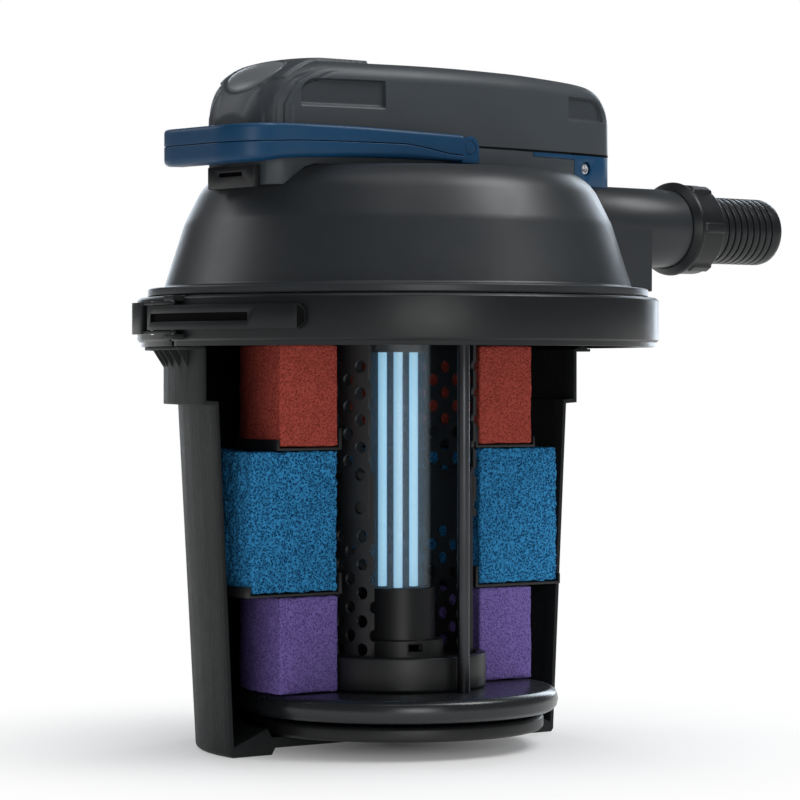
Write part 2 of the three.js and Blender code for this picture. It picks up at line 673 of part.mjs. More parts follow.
const bracketBlock = raised(planOutline(bracketX, BRACKET_REAR_X), HEAD_SPLIT_Z - BRACKET_H, HEAD_SPLIT_Z);
const bracketTongue = cut(
  raised(planOutline(tongueX, bracketX + 3), tongueLow, HEAD_SPLIT_Z),
  raised(planOutline(tongueX - 10, bracketX + 10, tongueThick), tongueLow - 5, HEAD_SPLIT_Z + 5));
const screwX = 140;
const screwZ = 434.6;
const screwHalf = sample(headPlan, screwX);
const screwSeats = [-1, 1].map((side) => {
  const seat = alongY(rod(5.5, screwHalf - 4, screwHalf + 4, 24));
  if (side < 0) seat.rotateZ(Math.PI);
  return moved(seat, screwX, 0, screwZ);
});
const pipeClear = alongX(rod(PIPE_R + 2 * GAP, PIPE_START_X, PIPE_END_X, 32));
pipeClear.translate(0, 0, OUTLET_Z);
part('rear_bracket', cut(join(bracketBlock, bracketTongue), domeClear, pipeClear, ...screwSeats), 0x1f5f99, 0.4);
for (const [name, side] of [['bracket_screw_left', -1], ['bracket_screw_right', 1]]) {
  const head = rod(4, 0, 2.2, 20);
  const slots = [boxed(-2.6, 2.6, -0.6, 0.6, 1.2, 3), boxed(-0.6, 0.6, -2.6, 2.6, 1.2, 3)];
  const screw = part(name, alongY(cut(head, ...slots)), 0xc8cbce, 0.2, 1);
  screw.position.set(screwX, side * (screwHalf - 4), screwZ);
  if (side < 0) screw.rotation.z = Math.PI;
}

const catchX = -159.8;
const catchHalf = 26.5;
const catchBody = boxed(catchX, baseNoseX - GAP, -catchHalf, catchHalf, SKIRT_Z, 427);
const catchSlot = boxed(catchX - 1, catchX + 4, -13, 13, 419.6, 422.4);
part('front_catch', cut(catchBody, catchSlot), 0x2e3134, 0.4);

// ---------------------------------------------------------------- pull handle, ears and rods

const armX = -EAR_W / 2 - 0.8;
const outerSide = [
  [armX, 84], [-35, 82.5], [-60, 80], [-80, 76], [-100, 71], [-120, 66.8], [-140, 61.6], [-150, 58.2],
];
const innerSide = [
  [armX, 72], [-35, 71], [-60, 69], [-80, 65], [-100, 60], [-120, 54.6], [-140, 48.4],
];
const HANDLE_END_X = -193.6;
const HANDLE_CORNER = 30;
const HANDLE_BAR = 20.6;
const HANDLE_INNER_CORNER = 18;
const barHalf = 53.7;
for (let i = 0; i <= 5; i += 1) {
  const angle = i * Math.PI / 10;
  outerSide.push([
    HANDLE_END_X + HANDLE_CORNER - HANDLE_CORNER * Math.sin(angle),
    barHalf - HANDLE_CORNER + HANDLE_CORNER * Math.cos(angle)]);
  innerSide.push([
    HANDLE_END_X + HANDLE_BAR + HANDLE_INNER_CORNER * (1 - Math.sin(angle)),
    43.5 - HANDLE_INNER_CORNER + HANDLE_INNER_CORNER * Math.cos(angle)]);
}
const mirrored = (side) => side.map(([x, y]) => [x, -y]).reverse();
const handleOutline = [...outerSide, ...mirrored(outerSide), ...innerSide.map(([x, y]) => [x, -y]),
  ...[...innerSide].reverse()];
const handleTop = [[-193, 452], [-178, 454.3], [-150, 455.6], [-100, 454.8], [-60, 453.4], [0, 452]];
const handleSplit = [[-190, 440], [-165, 441.8], [-140, 443], [-100, 443.5], [0, 443.5]];
const handleLow = [[-193, 426], [-165, 428.4], [-150, 431], [-120, 432.2], [-100, 432.6], [0, 433]];

// The handle's outline between two heights that change along X.
function handleShell(low, high, lowShift, highShift) {
  const shell = raised(handleOutline, 0, 1);
  const at = shell.getAttribute('position');
  for (let i = 0; i < at.count; i += 1) {
    const x = at.getX(i);
    const z = at.getZ(i) > 0.5 ? sample(high, x) + highShift : sample(low, x) + lowShift;
    at.setZ(i, z);
  }
  return shell;
}

const tongueY = (EAR_SLOT_IN + EAR_SLOT_OUT) / 2;
const tongues = [-1, 1].map((side) => {
  const from = side * tongueY - TONGUE_THICK / 2;
  const disc = moved(alongY(rod(8.1, 0, TONGUE_THICK, 20)), 0, from, PIVOT_Z);
  return join(disc, boxed(armX - 2, 0, from, from + TONGUE_THICK, PIVOT_Z - 6, PIVOT_Z - 0.5));
});
const pinBores = [-1, 1].map((side) => moved(
  alongY(rod(PIVOT_PIN_R + PIN_CLEAR, EAR_IN_Y - 5, EAR_OUT_Y + 5, 20)), 0, side < 0 ? -2 * tongueY : 0, PIVOT_Z));
part('handle_upper', handleShell(handleSplit, handleTop, GAP / 2, 0), 0x2f7fc4, 0.35);
part('handle_lower', cut(
  join(handleShell(handleLow, handleSplit, 0, -GAP / 2), ...tongues), ...pinBores), 0x2b79bd, 0.35);

for (const [name, side] of [['left', -1], ['right', 1]]) {
  const cheek = rod(EAR_W / 2, 0, EAR_OUT_Y - EAR_IN_Y, 20);
  const foot = boxed(-EAR_W / 2, EAR_W / 2, 0, PIVOT_Z - EAR_Z, 0, EAR_OUT_Y - EAR_IN_Y);
  const ear = alongY(join(cheek, foot));
  ear.translate(0, side < 0 ? -EAR_OUT_Y : EAR_IN_Y, PIVOT_Z);
  const slotFrom = side < 0 ? -EAR_SLOT_OUT : EAR_SLOT_IN;
  const slot = boxed(-30, 30, slotFrom, slotFrom + EAR_SLOT_OUT - EAR_SLOT_IN, EAR_Z + 2, PIVOT_Z + 30);
  part(`pull_ear_${name}`, cut(ear, slot, ...pinBores), 0x2b79bd, 0.35);
  const pin = part(`pivot_pin_${name}`, alongY(rod(PIVOT_PIN_R, 0, EAR_OUT_Y - EAR_IN_Y, 20)), 0x2f7fc4, 0.35);
  pin.position.set(0, side < 0 ? -EAR_OUT_Y : EAR_IN_Y, PIVOT_Z);
  const pullRod = part(`pull_rod_${name}`, rod(ROD_R, PLATE_TOP_Z, EAR_Z), 0x8f9498, 0.25, 0.8);
  pullRod.position.y = side * ROD_Y;
  const rodSeal = part(`rod_seal_${name}`, tube(6.7, ROD_R + GAP, LID_TOP_Z, LID_TOP_Z + 2.2, 16), 0x17181a, 0.8);
  rodSeal.position.y = side * ROD_Y;
}

// ---------------------------------------------------------------- top plate, centre tube and lamp

// The holes round the lamp let the water out of the centre tube into the lid.
const waterHoles = Array.from({ length: WATER_HOLES }, (_, i) => {
  const at = polar(WATER_ORBIT_R, (i + 0.5) * 2 * Math.PI / WATER_HOLES);
  return moved(rod(WATER_HOLE_R, THROUGH_LOW_Z, LID_SKIRT_Z + 1, 10), at[0], at[1], 0);
});
const topPlate = cut(
  turned([[0, TOP_PLATE_Z], [LID_SKIRT_R, TOP_PLATE_Z], [LID_SKIRT_R, LID_SKIRT_Z - GAP], [0, LID_SKIRT_Z - GAP]]),
  lampHole, ...rodHoles, ...waterHoles);
part('top_plate', topPlate, 0x2b2e31, 0.4);

// A perforated tube with staggered holes, one column to each of its flat facets.
const columnPitch = 2 * Math.PI / CAGE_COLUMNS;
const firstColumn = -169.7 * TURN;
function cage(outer, low, high, rowsEven, rowsOdd) {
  const wall = tube(outer, outer - CAGE_WALL, low, high, CAGE_COLUMNS);
  wall.rotateZ(firstColumn + columnPitch / 2);
  const holes = [];
  for (let i = 0; i < CAGE_COLUMNS; i += 1) {
    for (const z of i % 2 === 0 ? rowsEven : rowsOdd) {
      const hole = alongX(rod(CAGE_HOLE / 2, outer - 8, outer + 4, 4));
      hole.translate(0, 0, z);
      hole.rotateZ(firstColumn + i * columnPitch);
      holes.push(hole);
    }
  }
  return cut(wall, ...holes, inFront(CAGE_CUT));
}

const cageTopRow = TOP_PLATE_Z - CAGE_TOP_ROW;
const cageLowerTopRow = CAGE_LOWER_TOP_Z - CAGE_LOWER_TOP_ROW;
const rows = (top, count, pitch) => Array.from({ length: count }, (_, i) => top - i * pitch);
part('cage_upper', cage(CAGE_R, CAGE_UPPER_Z, TOP_PLATE_Z - GAP,
  rows(cageTopRow - CAGE_ROW / 2, 4, CAGE_ROW),
  [...rows(cageTopRow, 5, CAGE_ROW), cageTopRow - 5 * CAGE_ROW - CAGE_ODD_ROW]), 0x1d1f21, 0.45);
const cageLowerR = CAGE_R - CAGE_WALL - CAGE_SLIDE;
const sleeveFlangeTop = CUP_TOP_Z - FLANGE_SINK;
const cageLowerZ = sleeveFlangeTop + GAP;
part('cage_lower', cage(cageLowerR, cageLowerZ, CAGE_LOWER_TOP_Z,
  rows(cageLowerTopRow - CAGE_LOWER_ROW / 2, 4, CAGE_LOWER_ROW),
  rows(cageLowerTopRow, 5, CAGE_LOWER_ROW)), 0x1d1f21, 0.45);

const quartz = turned([
  [0, QUARTZ_Z], [QUARTZ_R - 4, QUARTZ_Z], [QUARTZ_R, QUARTZ_Z + 4], [QUARTZ_R, QUARTZ_TOP_Z],
  [QUARTZ_R - QUARTZ_WALL, QUARTZ_TOP_Z], [QUARTZ_R - QUARTZ_WALL, QUARTZ_Z + 4.5],
  [QUARTZ_R - 4.5, QUARTZ_Z + QUARTZ_WALL], [0, QUARTZ_Z + QUARTZ_WALL]], 24);
part('quartz_sleeve', quartz, 0xbfdbe8, 0.05, 0, { transparent: true, opacity: 0.35 });
part('quartz_seal', tube(QUARTZ_R + 6, QUARTZ_R + 0.4, LID_TOP_Z, LID_TOP_Z + 5, 24), 0x17181a, 0.8);

const lampBottom = QUARTZ_Z + 4;
const lampGlass = turned([
  [0, lampBottom], [LAMP_R - 2, lampBottom], [LAMP_R, lampBottom + 2], [LAMP_R, LAMP_TOP_Z],
  [LAMP_R - LAMP_WALL, LAMP_TOP_Z], [LAMP_R - LAMP_WALL, lampBottom + LAMP_WALL], [0, lampBottom + LAMP_WALL]], 24);
part('lamp_glass', lampGlass, 0x8fd0e0, 0.08, 0, { transparent: true, opacity: 0.4 });
for (let i = 0; i < 3; i += 1) {
  const lampTube = part(`lamp_tube_${i + 1}`, rod(LAMP_TUBE_R, lampBottom + 4.3, LAMP_TOP_Z, 16), 0xd8f4ff, 0.2, 0,
    { emissive: 0x7fd4ff, emissiveIntensity: 1 });
  const at = polar(LAMP_TUBE_ORBIT_R, -131 * TURN + (i - 1) * 120 * TURN);
  lampTube.position.set(at[0], at[1], 0);
}
const lampFlangeR = QUARTZ_R - QUARTZ_WALL - GAP;
part('lamp_base', turned([
  [0, LAMP_TOP_Z], [LAMP_R, LAMP_TOP_Z], [LAMP_R, QUARTZ_TOP_Z - 12], [lampFlangeR, QUARTZ_TOP_Z - 12],
  [lampFlangeR, QUARTZ_TOP_Z - 2], [0, QUARTZ_TOP_Z - 2]], 24), 0x1f2123, 0.5);
part('ballast', boxed(
  BALLAST_START_X, BALLAST_END_X, -BALLAST_HALF, BALLAST_HALF, HEAD_SPLIT_Z, HEAD_SPLIT_Z + BALLAST_H), 0x55585a, 0.6);

// ---------------------------------------------------------------- foams and spacers

// Room for the rod that stands behind the centre tube.
const rodNotch = boxed(-ROD_R - 1, ROD_R + 1, 0, ROD_Y + ROD_R + 1.2, 0, 400);

function foam(name, outer, low, high, color) {
  const ring = tube(outer, FOAM_BORE_R, low, high, 40);
  part(name, cut(ring, rodNotch, inFront(FOAM_CUT)), color, 0.95);
}

function spacer(name, outer, low) {
  const tray = turned([
    [FOAM_BORE_R - 3, low], [outer + 2.6, low], [outer + 2.6, low + SPACER_RIM], [outer + 0.8, low + SPACER_RIM],
    [outer + 0.8, low + SPACER_THICK], [FOAM_BORE_R - 0.6, low + SPACER_THICK],
    [FOAM_BORE_R - 0.6, low + SPACER_COLLAR], [FOAM_BORE_R - 3, low + SPACER_COLLAR]], 40);
  part(name, cut(tray, rodNotch, inFront(FOAM_CUT)), 0x26292b, 0.45);
}

foam('foam_red', FOAM_SMALL_R, UPPER_SPACER_Z + SPACER_THICK + FOAM_CLEAR, TOP_PLATE_Z - 1, 0xa5443f);
foam('foam_blue', FOAM_LARGE_R, LOWER_SPACER_Z + SPACER_THICK + FOAM_CLEAR, UPPER_SPACER_Z - FOAM_CLEAR, 0x1e6996);
foam('foam_purple', FOAM_SMALL_R, PLATE_TOP_Z + FOAM_CLEAR, LOWER_SPACER_Z - FOAM_CLEAR, 0x665096);
spacer('spacer_upper', FOAM_SMALL_R, UPPER_SPACER_Z);
spacer('spacer_lower', FOAM_LARGE_R, LOWER_SPACER_Z);

// ---------------------------------------------------------------- guide sleeve, cup and base

const cupFloorTop = PLATE_TOP_Z + CUP_FLOOR;
const guideFoot = cupFloorTop + GAP;
const flangeR = cageLowerR + 1;
const cupInR = flangeR + CUP_CLEAR;
const guide = turned([
  [0, guideFoot], [30, guideFoot], [30, sleeveFlangeTop - FLANGE_THICK], [flangeR, sleeveFlangeTop - FLANGE_THICK],
  [flangeR, sleeveFlangeTop],
  [34, sleeveFlangeTop], [34, CUP_TOP_Z + 10], [SLEEVE_R, CUP_TOP_Z + 10], [SLEEVE_R, SLEEVE_TOP_Z],
  [SLEEVE_IN_R, SLEEVE_TOP_Z], [SLEEVE_IN_R, CUP_TOP_Z - 8], [0, CUP_TOP_Z - 8]], 24);
const guideNotch = boxed(8, 18, -60, -20, CUP_TOP_Z + 2, CUP_TOP_Z + 7);
guideNotch.rotateZ(-41 * TURN);
part('guide_sleeve', cut(guide, guideNotch), 0x2b2e31, 0.45);

part('cup', turned([
  [0, PLATE_TOP_Z], [CUP_R - 2, PLATE_TOP_Z], [CUP_R, PLATE_TOP_Z + 2], [CUP_R, CUP_TOP_Z - 1], [CUP_R - 1, CUP_TOP_Z],
  [cupInR, CUP_TOP_Z], [cupInR, cupFloorTop], [0, cupFloorTop]], 32), 0x303336, 0.42);

const basePlateZ = PLATE_TOP_Z - BASE_PLATE_H;
part('base_plate', turned([
  [0, basePlateZ], [BASE_PLATE_R - 5, basePlateZ], [BASE_PLATE_R - 1.2, basePlateZ + 3],
  [BASE_PLATE_R, basePlateZ + BASE_PLATE_H / 2],
  [BASE_PLATE_R - 1.2, PLATE_TOP_Z - 3], [BASE_PLATE_R - 5, PLATE_TOP_Z], [0, PLATE_TOP_Z]], 48), 0x2b2e31, 0.3);

const lowerDiscZ = FLOOR_Z + GAP;
part('lower_disc', turned([
  [0, lowerDiscZ], [LOWER_DISC_R - 2, lowerDiscZ], [LOWER_DISC_R, lowerDiscZ + 2],
  [LOWER_DISC_R, lowerDiscZ + LOWER_DISC_H - 2], [LOWER_DISC_R - 2, lowerDiscZ + LOWER_DISC_H],
  [34, lowerDiscZ + LOWER_DISC_H], [34, basePlateZ], [0, basePlateZ]], 40), 0x2b2e31, 0.35);

// ---------------------------------------------------------------- placing

const bounds = new THREE.Box3().setFromObject(group, true);
group.position.set(-(bounds.min.x + bounds.max.x) / 2, -(bounds.min.y + bounds.max.y) / 2, -bounds.min.z);

export default group;
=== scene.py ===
import math

import bmesh
import bpy
import numpy as np
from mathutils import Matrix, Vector, noise


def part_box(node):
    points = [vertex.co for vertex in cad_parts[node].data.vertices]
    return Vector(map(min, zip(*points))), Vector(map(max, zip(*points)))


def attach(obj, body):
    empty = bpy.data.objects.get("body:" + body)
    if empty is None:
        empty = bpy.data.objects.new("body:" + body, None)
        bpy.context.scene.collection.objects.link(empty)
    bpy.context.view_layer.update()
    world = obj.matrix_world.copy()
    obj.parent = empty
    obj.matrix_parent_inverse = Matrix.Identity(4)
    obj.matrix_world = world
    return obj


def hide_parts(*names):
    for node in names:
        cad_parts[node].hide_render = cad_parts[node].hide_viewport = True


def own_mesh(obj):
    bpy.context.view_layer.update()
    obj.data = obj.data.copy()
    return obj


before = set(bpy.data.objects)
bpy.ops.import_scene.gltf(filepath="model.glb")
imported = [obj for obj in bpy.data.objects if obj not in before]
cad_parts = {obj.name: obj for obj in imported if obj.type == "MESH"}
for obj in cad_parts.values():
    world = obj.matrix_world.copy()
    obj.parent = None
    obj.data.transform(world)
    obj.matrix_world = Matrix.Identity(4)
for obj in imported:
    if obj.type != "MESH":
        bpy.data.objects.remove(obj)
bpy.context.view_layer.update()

MM = 0.001
rod_lo, rod_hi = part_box("pull_rod_left")
AXIS_X = (rod_lo.x + rod_hi.x) / 2            # the rod stands beside the tank's axis, whose Y is 0
CUT = math.radians(-4)                        # how far the cutaway's plane is turned from X
CUT_FACING = CUT - math.pi / 2                # the way the open front looks
NORMAL = Vector((math.cos(CUT_FACING), math.sin(CUT_FACING), 0))
OUTLET_Z = 395                                # height of the outlet's axis
PIVOT_Z = 443                                 # height of the handle's pivots


# ------------------------------------------------------------ materials

class Nodes:
    """A short way to wire a node material."""

    def __init__(self, name):
        self.mat = bpy.data.materials.new(name)
        self.mat.use_nodes = True
        self.tree = self.mat.node_tree
        self.tree.nodes.clear()
        self.out = self.add("ShaderNodeOutputMaterial")
        self.coord = self.add("ShaderNodeTexCoord").outputs["Object"]

    def add(self, kind, **settings):
        node = self.tree.nodes.new(kind)
        for key, value in settings.items():
            if key in node.inputs:
                node.inputs[key].default_value = value
            else:
                setattr(node, key, value)
        return node

    def link(self, a, b):
        self.tree.links.new(a, b)

    def mapped(self, scale):
        node = self.add("ShaderNodeMapping")
        node.inputs["Scale"].default_value = scale
        self.link(self.coord, node.inputs["Vector"])
        return node.outputs["Vector"]

    def noise(self, scale, detail=3.0, rough=0.5, stretch=(1, 1, 1)):
        node = self.add("ShaderNodeTexNoise", Scale=scale, Detail=detail, Roughness=rough)
        self.link(self.mapped(stretch), node.inputs["Vector"])
        return node.outputs["Fac"]

    def ramp(self, fac, stops):
        node = self.add("ShaderNodeValToRGB")
        ramp = node.color_ramp
        while len(ramp.elements) < len(stops):
            ramp.elements.new(0.5)
        for element, (at, color) in zip(ramp.elements, stops):
            element.position = at
            element.color = (*color, 1)
        self.link(fac, node.inputs["Fac"])
        return node.outputs["Color"]

    def span(self, fac, low, high):
        node = self.add("ShaderNodeMapRange")
        node.inputs["To Min"].default_value = low
        node.inputs["To Max"].default_value = high
        self.link(fac, node.inputs["Value"])
        return node.outputs["Result"]

    def bump(self, height, strength, distance, before=None):
        node = self.add("ShaderNodeBump")
        node.inputs["Strength"].default_value = strength
        node.inputs["Distance"].default_value = distance
        self.link(height, node.inputs["Height"])
        if before is not None:
            self.link(before, node.inputs["Normal"])
        return node.outputs["Normal"]


def scaled(color, k):
    return tuple(min(1.0, c * k) for c in color)


def plastic(name, color, rough, grain, grain_scale, spread, streak=0.0, specular=0.5):
    """Moulded plastic: fine grain, faint cloudiness and, on the tank, drawn vertical streaks."""
    n = Nodes(name)
    shader = n.add("ShaderNodeBsdfPrincipled")
    shader.inputs["Specular IOR Level"].default_value = specular
    cloud = n.noise(14, 4, 0.6)
    fine = n.noise(grain_scale, 2, 0.6)
    n.link(n.ramp(cloud, [(0.3, scaled(color, 1 - spread)), (0.7, scaled(color, 1 + spread))]),
           shader.inputs["Base Color"])
    smear = n.noise(60, 5, 0.65)
    n.link(n.span(smear, rough - 0.06, rough + 0.08), shader.inputs["Roughness"])
    normal = n.bump(fine, grain, 0.0004)
    if streak:
        lines = n.noise(1, 3, 0.7, (900, 900, 10))
        normal = n.bump(lines, streak, 0.0008, normal)
    n.link(normal, shader.inputs["Normal"])
    n.link(shader.outputs["BSDF"], n.out.inputs["Surface"])
    return n.mat


def metal(name, color, rough=0.25):
    """Metal with fine lines along its height."""
    n = Nodes(name)
    shader = n.add("ShaderNodeBsdfPrincipled", Metallic=1.0)
    lines = n.noise(1, 3, 0.6, (1500, 1500, 60))
    n.link(n.ramp(n.noise(30, 3), [(0.3, scaled(color, 0.9)), (0.7, scaled(color, 1.08))]),
           shader.inputs["Base Color"])
    n.link(n.span(lines, rough - 0.08, rough + 0.1), shader.inputs["Roughness"])
    n.link(n.bump(lines, 0.06, 0.0003), shader.inputs["Normal"])
    n.link(shader.outputs["BSDF"], n.out.inputs["Surface"])
    return n.mat


def rubber(name):
    """Dull dark rubber."""
    n = Nodes(name)
    shader = n.add("ShaderNodeBsdfPrincipled")
    n.link(n.ramp(n.noise(80, 4), [(0.3, (0.008, 0.008, 0.009)), (0.7, (0.018, 0.018, 0.019))]),
           shader.inputs["Base Color"])
    n.link(n.span(n.noise(120, 4), 0.6, 0.85), shader.inputs["Roughness"])
    n.link(n.bump(n.noise(1400, 2), 0.2, 0.0003), shader.inputs["Normal"])
    n.link(shader.outputs["BSDF"], n.out.inputs["Surface"])
    return n.mat


def foam_material(name, dark, mid, light, cell, fine, depth):
    """Open-cell foam: dark pores between lighter strands, at two sizes."""
    n = Nodes(name)
    shader = n.add("ShaderNodeBsdfPrincipled", Roughness=0.9)
    shader.inputs["Specular IOR Level"].default_value = 0.1
    warp = n.add("ShaderNodeTexNoise", Scale=cell * 0.7, Detail=2.0)
    n.link(n.coord, warp.inputs["Vector"])
    shift = n.add("ShaderNodeVectorMath", operation="MULTIPLY_ADD")
    n.link(warp.outputs["Color"], shift.inputs[0])
    shift.inputs[1].default_value = (0.9 / cell, 0.9 / cell, 0.9 / cell)
    n.link(n.coord, shift.inputs[2])
    pores = n.add("ShaderNodeTexVoronoi", Scale=cell)
    n.link(shift.outputs["Vector"], pores.inputs["Vector"])
    strands = n.add("ShaderNodeTexNoise", Scale=fine, Detail=4.0, Roughness=0.7)
    n.link(n.coord, strands.inputs["Vector"])
    mixed = n.add("ShaderNodeMath", operation="MULTIPLY_ADD")
    n.link(strands.outputs["Fac"], mixed.inputs[0])
    mixed.inputs[1].default_value = 0.9
    n.link(pores.outputs["Distance"], mixed.inputs[2])
    spread = n.span(mixed.outputs["Value"], 0, 1)
    spread.node.inputs["From Min"].default_value = 0.35
    spread.node.inputs["From Max"].default_value = 1.15
    n.link(n.ramp(spread, [(0.12, dark), (0.42, mid), (0.85, light)]), shader.inputs["Base Color"])
    n.link(n.bump(spread, 0.9, depth), shader.inputs["Normal"])
    n.link(shader.outputs["BSDF"], n.out.inputs["Surface"])
    return n.mat


def glass(name, tint, clear, rough=0.03, glow=None):
    """Thin glass seen from outside: mostly clear, with gloss from the shader."""
    n = Nodes(name)
    shader = n.add("ShaderNodeBsdfPrincipled", Roughness=rough)
    shader.inputs["Base Color"].default_value = (*tint, 1)
    shader.inputs["Specular IOR Level"].default_value = 0.3
    haze = n.noise(40, 3)
    n.link(n.span(haze, rough, rough + 0.05), shader.inputs["Roughness"])
    if glow:
        shader.inputs["Emission Color"].default_value = (*glow[0], 1)
        shader.inputs["Emission Strength"].default_value = glow[1]
    shader.inputs["Alpha"].default_value = 1 - clear
    n.link(shader.outputs["BSDF"], n.out.inputs["Surface"])
    return n.mat


def lamp(name, edge, core, strength):
    """A lit tube, brightest along its middle."""
    n = Nodes(name)
    shader = n.add("ShaderNodeBsdfPrincipled", Roughness=0.2)
    facing = n.add("ShaderNodeLayerWeight", Blend=0.35)
    n.link(n.ramp(facing.outputs["Facing"], [(0.15, core), (0.8, edge)]), shader.inputs["Emission Color"])
    n.link(n.ramp(n.noise(90, 2), [(0.3, (0.75, 0.9, 0.95)), (0.7, (0.85, 0.97, 1.0))]),
           shader.inputs["Base Color"])
    shader.inputs["Emission Strength"].default_value = strength
    n.link(shader.outputs["BSDF"], n.out.inputs["Surface"])
    return n.mat


CHARCOAL = (0.021, 0.024, 0.027)
MATERIALS = {
    "tank": plastic("tank_plastic", (0.010, 0.0115, 0.012), 0.55, 0.12, 700, 0.2,
                    streak=0.75, specular=0.22),
    "lid": plastic("lid_plastic", CHARCOAL, 0.36, 0.09, 1100, 0.06, specular=0.34),
    "band": plastic("band_plastic", (0.006, 0.007, 0.008), 0.36, 0.08, 1100, 0.06, specular=0.3),
    "head": plastic("head_plastic", (0.038, 0.045, 0.051), 0.42, 0.13, 1300, 0.05, specular=0.3),
    "inner": plastic("inner_plastic", (0.008, 0.0085, 0.0095), 0.42, 0.1, 900, 0.1, specular=0.4),
    "plate": plastic("plate_plastic", (0.012, 0.0135, 0.016), 0.27, 0.03, 900, 0.04),
    "blue": plastic("blue_plastic", (0.003, 0.04, 0.1), 0.4, 0.1, 1200, 0.05, specular=0.26),
    # painted shade: a darker copy of the head's plastic for the head's two pockets
    "recess_shade": plastic("recess_shade_plastic", (0.03, 0.036, 0.041), 0.45, 0.13, 1300, 0.05, specular=0.25),
    "lens": plastic("lens_plastic", (0.13, 0.14, 0.145), 0.3, 0.02, 500, 0.03, specular=0.35),
    "steel": metal("steel", (0.62, 0.63, 0.65)),
    "rod": metal("rod_steel", (0.05, 0.052, 0.056), 0.34),
    "rubber": rubber("rubber"),
    # painted shade: near-black plastic laid on the catch's slot, the lever's groove and the band over the
    # head's parting line
    "shade": plastic("shaded_gap", (0.0022, 0.0022, 0.0024), 0.8, 0.05, 900, 0.1, specular=0.06),
    "quartz": glass("quartz", (0.85, 0.95, 1.0), 0.95),
    "lamp_glass": glass("lamp_glass", (0.012, 0.06, 0.11), 0.74, glow=((0.02, 0.09, 0.16), 0.12)),
    "lamp": lamp("lamp", (0.16, 0.42, 0.76), (0.4, 0.76, 1.0), 1.05),
    "foam_red": foam_material("foam_red", (0.022, 0.003, 0.002), (0.25, 0.034, 0.026), (0.38, 0.068, 0.05),
                              cell=640, fine=1500, depth=0.0007),
    "foam_blue": foam_material("foam_blue", (0.0, 0.004, 0.018), (0.002, 0.04, 0.13), (0.035, 0.25, 0.52),
                               cell=620, fine=1250, depth=0.0012),
    "foam_purple": foam_material("foam_purple", (0.014, 0.006, 0.036), (0.11, 0.072, 0.26),
                                 (0.19, 0.135, 0.4), cell=640, fine=1500, depth=0.0007),
}


# ------------------------------------------------------------ mesh helpers

def mesh_object(name, verts, faces, smooth=True):
    """Points in millimetres from the tank's axis become an object in the row frame."""
    mesh = bpy.data.meshes.new(name)
    mesh.from_pydata([(x * MM + AXIS_X, y * MM, z * MM) for x, y, z in verts], [], faces)
    mesh.update()
    bm = bmesh.new()
    bm.from_mesh(mesh)
    bmesh.ops.remove_doubles(bm, verts=bm.verts, dist=1e-6)
    bmesh.ops.recalc_face_normals(bm, faces=bm.faces)
    bm.to_mesh(mesh)
    bm.free()
    for polygon in mesh.polygons:
        polygon.use_smooth = smooth
    obj = bpy.data.objects.new(name, mesh)
    bpy.context.scene.collection.objects.link(obj)
    return obj


def skin_faces(rings, each, capped=True):
    """The faces over a row of rings that have as many points each, and over the row's two ends."""
    faces = []
    for ring in range(rings - 1):
        for k in range(each):
            a, b = ring * each + k, ring * each + (k + 1) % each
            faces.append((a, b, b + each, a + each))
    if capped:
        faces.append(tuple(range(each)))
        faces.append(tuple(range((rings - 1) * each, rings * each)))
    return faces


def prism(name, outline, low, high, smooth=True):
    """A flat outline drawn out between two heights."""
    count = len(outline)
    verts = [(x, y, z) for z in (low, high) for x, y in outline]
    faces = [tuple(range(count)), tuple(range(count, 2 * count))]
    faces += [(k, (k + 1) % count, count + (k + 1) % count, count + k) for k in range(count)]
    return mesh_object(name, verts, faces, smooth)


def finish_piece(obj, body, material, slot, *nodes):
    """Gives a piece its material and its body, and hides the CAD nodes it stands for; slot is not used."""
    obj.data.materials.clear()
    obj.data.materials.append(MATERIALS[material])
    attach(obj, body)
    if nodes:
        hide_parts(*nodes)
    return obj


def second_material(obj, material, inside):
    """Gives another material to the polygons whose middle, in mm from the tank's axis, the test picks."""
    obj.data.materials.append(MATERIALS[material])
    for polygon in obj.data.polygons:
        x, y, z = (polygon.center.x - AXIS_X) / MM, polygon.center.y / MM, polygon.center.z / MM
        if inside(x, y, z):
            polygon.material_index = 1


def with_modifiers(obj):
    """The mesh after its modifiers, written back into the piece."""
    graph = bpy.context.evaluated_depsgraph_get()
    made = bpy.data.meshes.new_from_object(obj.evaluated_get(graph))
    obj.modifiers.clear()
    obj.data = made
    return obj


def rounded(profile, radii, steps=5):
    """A closed or open profile whose corners are rounded; radii is one number or one per corner."""
    out = []
    count = len(profile)
    for i, point in enumerate(profile):
        radius = radii[i] if isinstance(radii, (list, tuple)) else radii
        a, p, b = (Vector(profile[(i + k) % count]) for k in (-1, 0, 1))
        da, db = a - p, b - p
        if radius <= 0 or da.length < 1e-6 or db.length < 1e-6:
            out.append(tuple(p))
            continue
        reach = min(radius, da.length * 0.45, db.length * 0.45)
        start, end = p + da.normalized() * reach, p + db.normalized() * reach
        for k in range(steps + 1):
            t = k / steps
            out.append(tuple(start.lerp(p, t).lerp(p.lerp(end, t), t)))
    return out


def lathe(name, profile, around, along_x=None, closed=True):
    """Turns (radius, height) points about the tank's axis, or about a level one at the height along_x."""
    verts, faces = [], []
    count = len(profile)
    for i in range(around):
        angle = 2 * math.pi * i / around
        for r, h in profile:
            if along_x is None:
                verts.append((r * math.cos(angle), r * math.sin(angle), h))
            else:
                verts.append((h, r * math.cos(angle), along_x + r * math.sin(angle)))
    last = count if closed else count - 1
    for i in range(around):
        for k in range(last):
            a, b = i * count + k, i * count + (k + 1) % count
            c, d = ((i + 1) % around) * count + (k + 1) % count, ((i + 1) % around) * count + k
            faces.append((a, b, c, d))
    return mesh_object(name, verts, faces)


